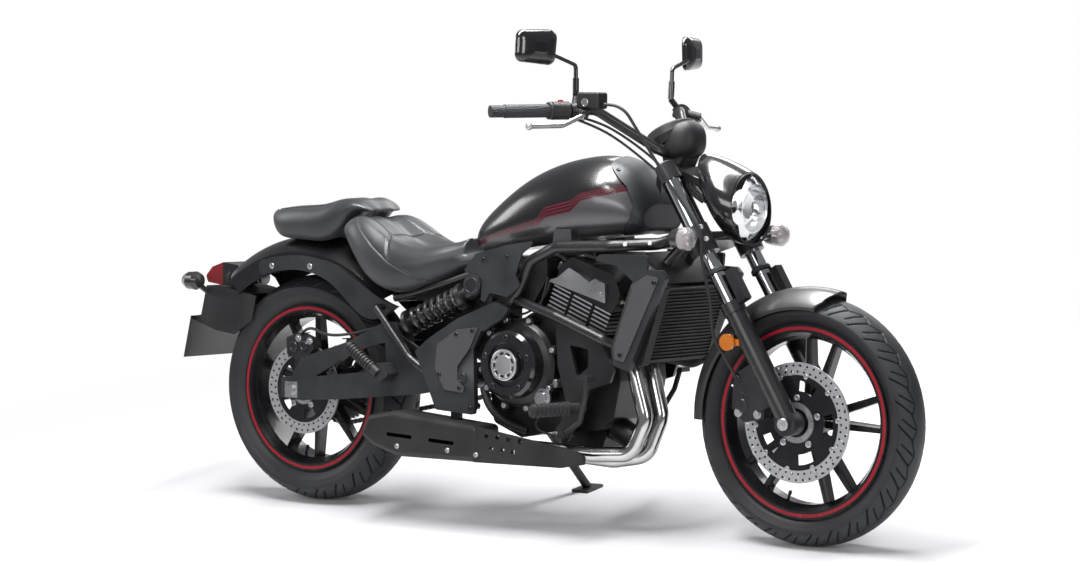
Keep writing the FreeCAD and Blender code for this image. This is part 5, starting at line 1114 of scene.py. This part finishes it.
# Rear fender: a moulding in black paint that is a little duller than the cowl's. Cast grey rails hold it on
# both sides, each by two bright bolts.
dress("rear_fender", finished("rear_fender_black", (0.004, 0.004, 0.0045), (0.008, 0.008, 0.009),
                              (0.24, 0.34), 500, 0.08, Coat_Weight=0.35, Coat_Roughness=0.18))
dress("fender_rails", dark_grey)
bolts("fender_rail_bolts", [((x, side * 0.113, z), (0, side, 0)) for side in (-1, 1)
                            for x, z in ((-0.093, 0.647), (0.043, 0.650))], 8.5, 4, zinc, "chassis")

# Tail lamp and plate: a black housing behind a clear red lens on the fender's end. A blank plate of black
# painted sheet hangs below it, held to its moulded bracket by two small screws.
red_lens = new_material("red_lens", Specular_IOR_Level=0.6, Coat_Weight=0.8, Coat_Roughness=0.06)
finish = finish_surface(red_lens, (0.10, 0.003, 0.004), (0.20, 0.006, 0.008), (0.16, 0.26), 300, 0.1)
tree = red_lens.node_tree
along, _, _ = add_node(tree, "ShaderNodeSeparateXYZ", {0: place_of(tree)}).outputs
is_lens = ramp(tree, along, -1.064, -1.066)
feed(red_lens, Base_Color=mixed(tree, is_lens, (0.006, 0.006, 0.007), finish["colour"]))
dress("tail_lamp", red_lens)
dress("plate_holder", moulded)
dress("number_plate", finished("blank_plate_black", (0.005, 0.005, 0.006), (0.009, 0.009, 0.010),
                               (0.30, 0.42), 700, 0.08, Coat_Weight=0.3, Coat_Roughness=0.2))
bolts("plate_bolts", [met("number_plate", (-0.7, y, 0.478), (1, 0, 0)) for y in (-0.07, 0.07)], 5.5, 3,
      black_bolt, "chassis")

# Signals: round black shells on short stalks, two in front and two behind. Each is closed by a clear cap with
# fine ribs moulded in its back.
signal_shell = finished("signal_black_shell", (0.010, 0.010, 0.011), (0.016, 0.016, 0.017), (0.26, 0.36),
                        300, 0.05, Coat_Weight=0.5, Coat_Roughness=0.12)
dress("front_signals", signal_shell)
dress("rear_signals", signal_shell)
clear_lens = new_material("clear_signal_lens", Roughness=0.12, Base_Color=(0.36, 0.33, 0.34, 1),
                          Coat_Weight=1.0, Coat_Roughness=0.05, Metallic=0.5)
tree = clear_lens.node_tree
_, _, height = add_node(tree, "ShaderNodeSeparateXYZ", {0: place_of(tree)}).outputs
ribs = maths(tree, "SINE", maths(tree, "MULTIPLY", height, 2200.0))
feed(clear_lens, Normal=add_node(tree, "ShaderNodeBump", {"Strength": 0.5, "Distance": 0.0008,
                                                          "Height": ribs}).outputs[0])
turned("front_signal_lenses", [((1.290, side * 0.220, 0.763), (1, 0, 0)) for side in (-1, 1)],
       [(28.3, 38), (28.8, 58), (21.5, 67), (12, 71.5), (0, 72.5)], clear_lens, "steering", sharp=40.0)
turned("rear_signal_lenses", [((-0.392, side * 0.140, 0.598), (1, 0, 0)) for side in (-1, 1)],
       [(0, -2), (10, 0), (16.5, 3.5), (21.5, 12), (24.6, 20)], clear_lens, "chassis", sharp=40.0)

# Headlamp: a cowl moulded in polished black, with a clear cover in a dark ring. Behind the cover are a
# silvered bowl with facets and a silvered shield before the bulb; five wires leave the cowl's back.
gloss_black = finished("gloss_black_moulding", (0.004, 0.004, 0.0045), (0.008, 0.008, 0.009), (0.14, 0.24),
                       220, 0.03, Coat_Weight=0.8, Coat_Roughness=0.06)
dress("headlight_cowl", gloss_black)
dress("headlight_lens", new_material("lamp_cover_glass", Roughness=0.03, IOR=1.49, Transmission_Weight=1.0,
                                     Base_Color=(0.97, 0.98, 0.99, 1)))
mirror_silver = finished("lamp_mirror_silver", (0.40, 0.41, 0.42), (0.52, 0.53, 0.54), (0.05, 0.10), 60, 0.03,
                         Metallic=1.0)
lamp_at, lamp_tilt = Vector((1.376, 0.0, 0.838)), math.radians(2.0)
lamp_ahead = Vector((math.cos(lamp_tilt), 0, -math.sin(lamp_tilt)))
lamp_up = Vector((math.sin(lamp_tilt), 0, math.cos(lamp_tilt)))


def lamp_turned(name, outline, count, material, facets=0, sharp=30.0):
    """A shape turned on the lamp's own axis, from (forward, radius). Facets are waves along the axis."""
    points = []
    for row, (ahead, r) in enumerate(outline):
        for t in [2 * math.pi * k / count for k in range(count)]:
            dent = 0.0012 * math.cos(facets * t + row * 0.9) if facets else 0.0
            points.append(lamp_at + lamp_ahead * (ahead + dent) + lamp_up * (r * math.sin(t))
                          + Vector((0, r * math.cos(t), 0)))
    add_piece(name, points, skin(0, len(outline), count), material, "steering", sharp=sharp)


bowl_radius, bowl_depth = 0.0815, 0.045
lamp_turned("headlamp_mirror", [(-0.001 - bowl_depth * (1 - (r / bowl_radius) ** 2), r) for r in (
    bowl_radius, 0.072, 0.062, 0.052, 0.042, 0.032, 0.022, 0.012)], 96, mirror_silver, facets=24, sharp=12.0)
lamp_turned("headlamp_bulb_shield", [(-0.046, 0.014), (-0.020, 0.014), (-0.012, 0.020), (-0.006, 0.020),
                                     (-0.003, 0.014), (-0.002, 0.0)], 32, mirror_silver)
lamp_turned("headlamp_ring", [(-0.003, 0.0829), (0.004, 0.0829), (0.008, 0.0845), (0.0085, 0.0875),
                              (0.004, 0.0895)], 96, satin_black)
pipe("lamp_wires", [[(1268, y, 850), (1244, y * 1.4, 868), (1220, y * 1.2, 892), (1206, y, 914)]
                    for y in (-34, -20, -6, 10, 26)], 4.2, "steering")

# Bars: a steel tube in satin black, with rubber grips moulded in waves, switch cases and bare alloy levers.
# The brake's fluid box has a sight glass and two screws; black cables follow the bar to the clamps.
dress("handlebar", satin_black)
dress("bar_controls", moulded)
dress("levers", bare_alloy)
grip_rubber = new_material("wavy_grip_rubber", Specular_IOR_Level=0.35)
finish = finish_surface(grip_rubber, (0.020, 0.021, 0.024), (0.032, 0.034, 0.038), (0.48, 0.62), 1100, 0.4)
tree = grip_rubber.node_tree
waves = add_node(tree, "ShaderNodeTexWave", {"Vector": place_of(tree), "Scale": 55.0, "Distortion": 5.0,
                                             "Detail": 0.0, "Detail Scale": 0.6}, bands_direction="Z")
raise_by(finish, ramp(tree, waves.outputs["Fac"], 0.35, 0.65), 0.0014, strength=0.7)
dress("grips", grip_rubber)
turned("fluid_sight_glass", outside("bar_controls", [(1056, 1098)], (-1,)),
       [(10.5, -1), (10.5, 2), (8.5, 2.4), (8, 1.2), (0, 1.4)], bare_alloy, "steering")
bolts("fluid_box_screws", atop("bar_controls", [(1038, -238), (1084, -238)]), 4.2, 2, zinc, "steering")
bolts("lever_pivots", atop("levers", [(1054, -268), (1054, 268)]), 7.5, 4, zinc, "steering", hexagon_head)
stop_red = finished("stop_switch_red", (0.26, 0.010, 0.012), (0.36, 0.020, 0.020), (0.34, 0.44), 900, 0.1,
                    Coat_Weight=0.4)
turned("stop_switch", atop("bar_controls", [(990, -270)]), [(8, -1), (8, 3), (6, 5), (0, 5.5)], stop_red,
       "steering")
turned("switch_buttons", [met("bar_controls", (0.6, side * 0.278, 1.080 + up), (1, 0, 0)) for side in (-1, 1)
                          for up in (-0.009, 0.007)], [(6, -1), (6, 2.6), (4.6, 3.6), (0, 3.8)], black_bolt,
       "steering")
pipe("bar_cables", [[(1030, side * 244, 1062), (1068, side * 214, 1050), (1100, side * 160, 1020),
                     (1140, side * 104, 974), (1172, side * 64, 930), (1196, side * 40, 890)]
                    for side in (-1, 1)]
     + [[(1012, -262, 1062), (1062, -222, 1040), (1100, -170, 1006), (1150, -116, 950), (1190, -72, 900),
         (1206, -40, 872)]], 3.4, "steering")

# Meter: a rounded moulded shell over its housing, with a dark dial under a glossy cover. The dial has plain
# pale ticks all round and is otherwise blank.
dress("instrument_pod", moulded)
dial_tilt = math.radians(28)
dial_up = Vector((-math.sin(dial_tilt), 0, math.cos(dial_tilt)))
dial_ahead = Vector((math.cos(dial_tilt), 0, math.sin(dial_tilt)))
dial_at = Vector((1.143, 0, 1.028)) + dial_up * 0.004
shell_at, below_dial, roundness = Vector((1.167, 0, 1.004)), 0.008, 2.6
shell_points, rows, count = [], 19, 48
for k in range(rows):
    for j in range(count):
        away, turn = math.pi / 2 * k / (rows - 1), 2 * math.pi * j / count
        way = Vector((math.cos(away), math.sin(away) * math.cos(turn), math.sin(away) * math.sin(turn)))
        sizes = (0.072, 0.058, 0.058 if way.z > 0 else 0.052)
        reach = sum(abs(w / size) ** roundness for w, size in zip(way, sizes)) ** (-1 / roundness)
        point = shell_at + way * reach
        too_high = (point - dial_at).dot(dial_up) + below_dial
        shell_points.append(point - dial_up * max(0.0, too_high))
shell_end = tuple((rows - 1) * count + j for j in reversed(range(count)))
add_piece("meter_shell", shell_points, skin(0, rows, count) + [shell_end], moulded, "steering")
dial_face = finished("dial_face", (0.006, 0.006, 0.007), (0.010, 0.010, 0.012), (0.30, 0.40), 700, 0.05,
                     Coat_Weight=1.0, Coat_Roughness=0.03)
turned("dial_plate", [(dial_at, dial_up)], [(55.5, 0.2), (55.5, 0.9), (54, 1.1), (0, 1.1)], dial_face,
       "steering", count=72)
tick_paint = finished("dial_tick_paint", (0.55, 0.55, 0.55), (0.70, 0.70, 0.70), (0.45, 0.55), 900, 0.05)
tick_points, tick_faces, ticks, tick_end = [], [], 33, 0.050
for k in range(ticks):
    t = math.radians(-130 + 260 * k / (ticks - 1))
    out = dial_ahead * math.cos(t) + Vector((0, 1, 0)) * math.sin(t)
    wide = dial_up.cross(out)
    near, half = (0.040, 0.0008) if k % 4 == 0 else (0.045, 0.0004)
    tick_faces.append(tuple(range(len(tick_points), len(tick_points) + 4)))
    tick_points += [dial_at + dial_up * 0.0013 + out * r + wide * w
                    for r, w in ((near, -half), (tick_end, -half), (tick_end, half), (near, half))]
add_piece("dial_ticks", tick_points, tick_faces, tick_paint, "steering", smooth=False)

# Mirrors: shells moulded in polished black on steel stems. A thin silvered glass lies in the back of each
# shell, facing the rider.
dress("mirrors", gloss_black)
glass_points, glass_faces, rings, count = [], [], 6, 48
for side in (-1, 1):
    glass_faces += skin(len(glass_points), rings, count)
    for ring in range(rings):
        for k in range(count):
            c, s = math.cos(2 * math.pi * k / count), math.sin(2 * math.pi * k / count)
            y = 0.352 + 0.052 * ring / (rings - 1) * math.copysign(abs(c) ** 0.5, c)
            z = 1.235 + 0.033 * ring / (rings - 1) * math.copysign(abs(s) ** 0.5, s)
            back_of_shell, _ = met("mirrors", (0.5, side * y, z), (1, 0, 0))
            glass_points.append(back_of_shell - Vector((0.0006, 0, 0)))
add_piece("mirror_glass", glass_points, glass_faces, mirror_silver, "steering")

# Pegs and stand: black pegs on their brackets, in sleeves of black rubber with raised rings. The side stand
# is a bent steel leg in satin black, pivoted on the frame's left side.
dress("footpegs", moulded)
dress("pillion_pegs", soft_rubber)
dress("side_stand", satin_black)


def sleeves(name, root, tip, radius, rings):
    """Sleeves on both sides, with raised rings all along, between two points in millimetres."""
    length = (Vector(tip) - Vector(root)).length
    step, raised = 0.78 * length / rings, radius + 3.2
    outline = [(radius, 0.18 * length)]
    for k in range(rings):
        at = (0.20 + 0.78 * k / rings) * length
        outline += [(radius, at), (raised, at + step * 0.2), (raised, at + step * 0.6),
                    (radius, at + step * 0.8)]
    outline += [(radius, 0.985 * length), (0, 0.99 * length)]
    ends = [[Vector((x, side * y, z)) / 1000 for x, y, z in (root, tip)] for side in (-1, 1)]
    turned(name, [(a, b - a) for a, b in ends], outline, soft_rubber, "chassis", sharp=25.0)


sleeves("rider_peg_sleeves", (975, 154.3, 320), (905, 271.5, 314), 15.0, 9)
sleeves("pillion_peg_sleeves", (336, 178, 376), (236, 184, 446), 13.6, 10)
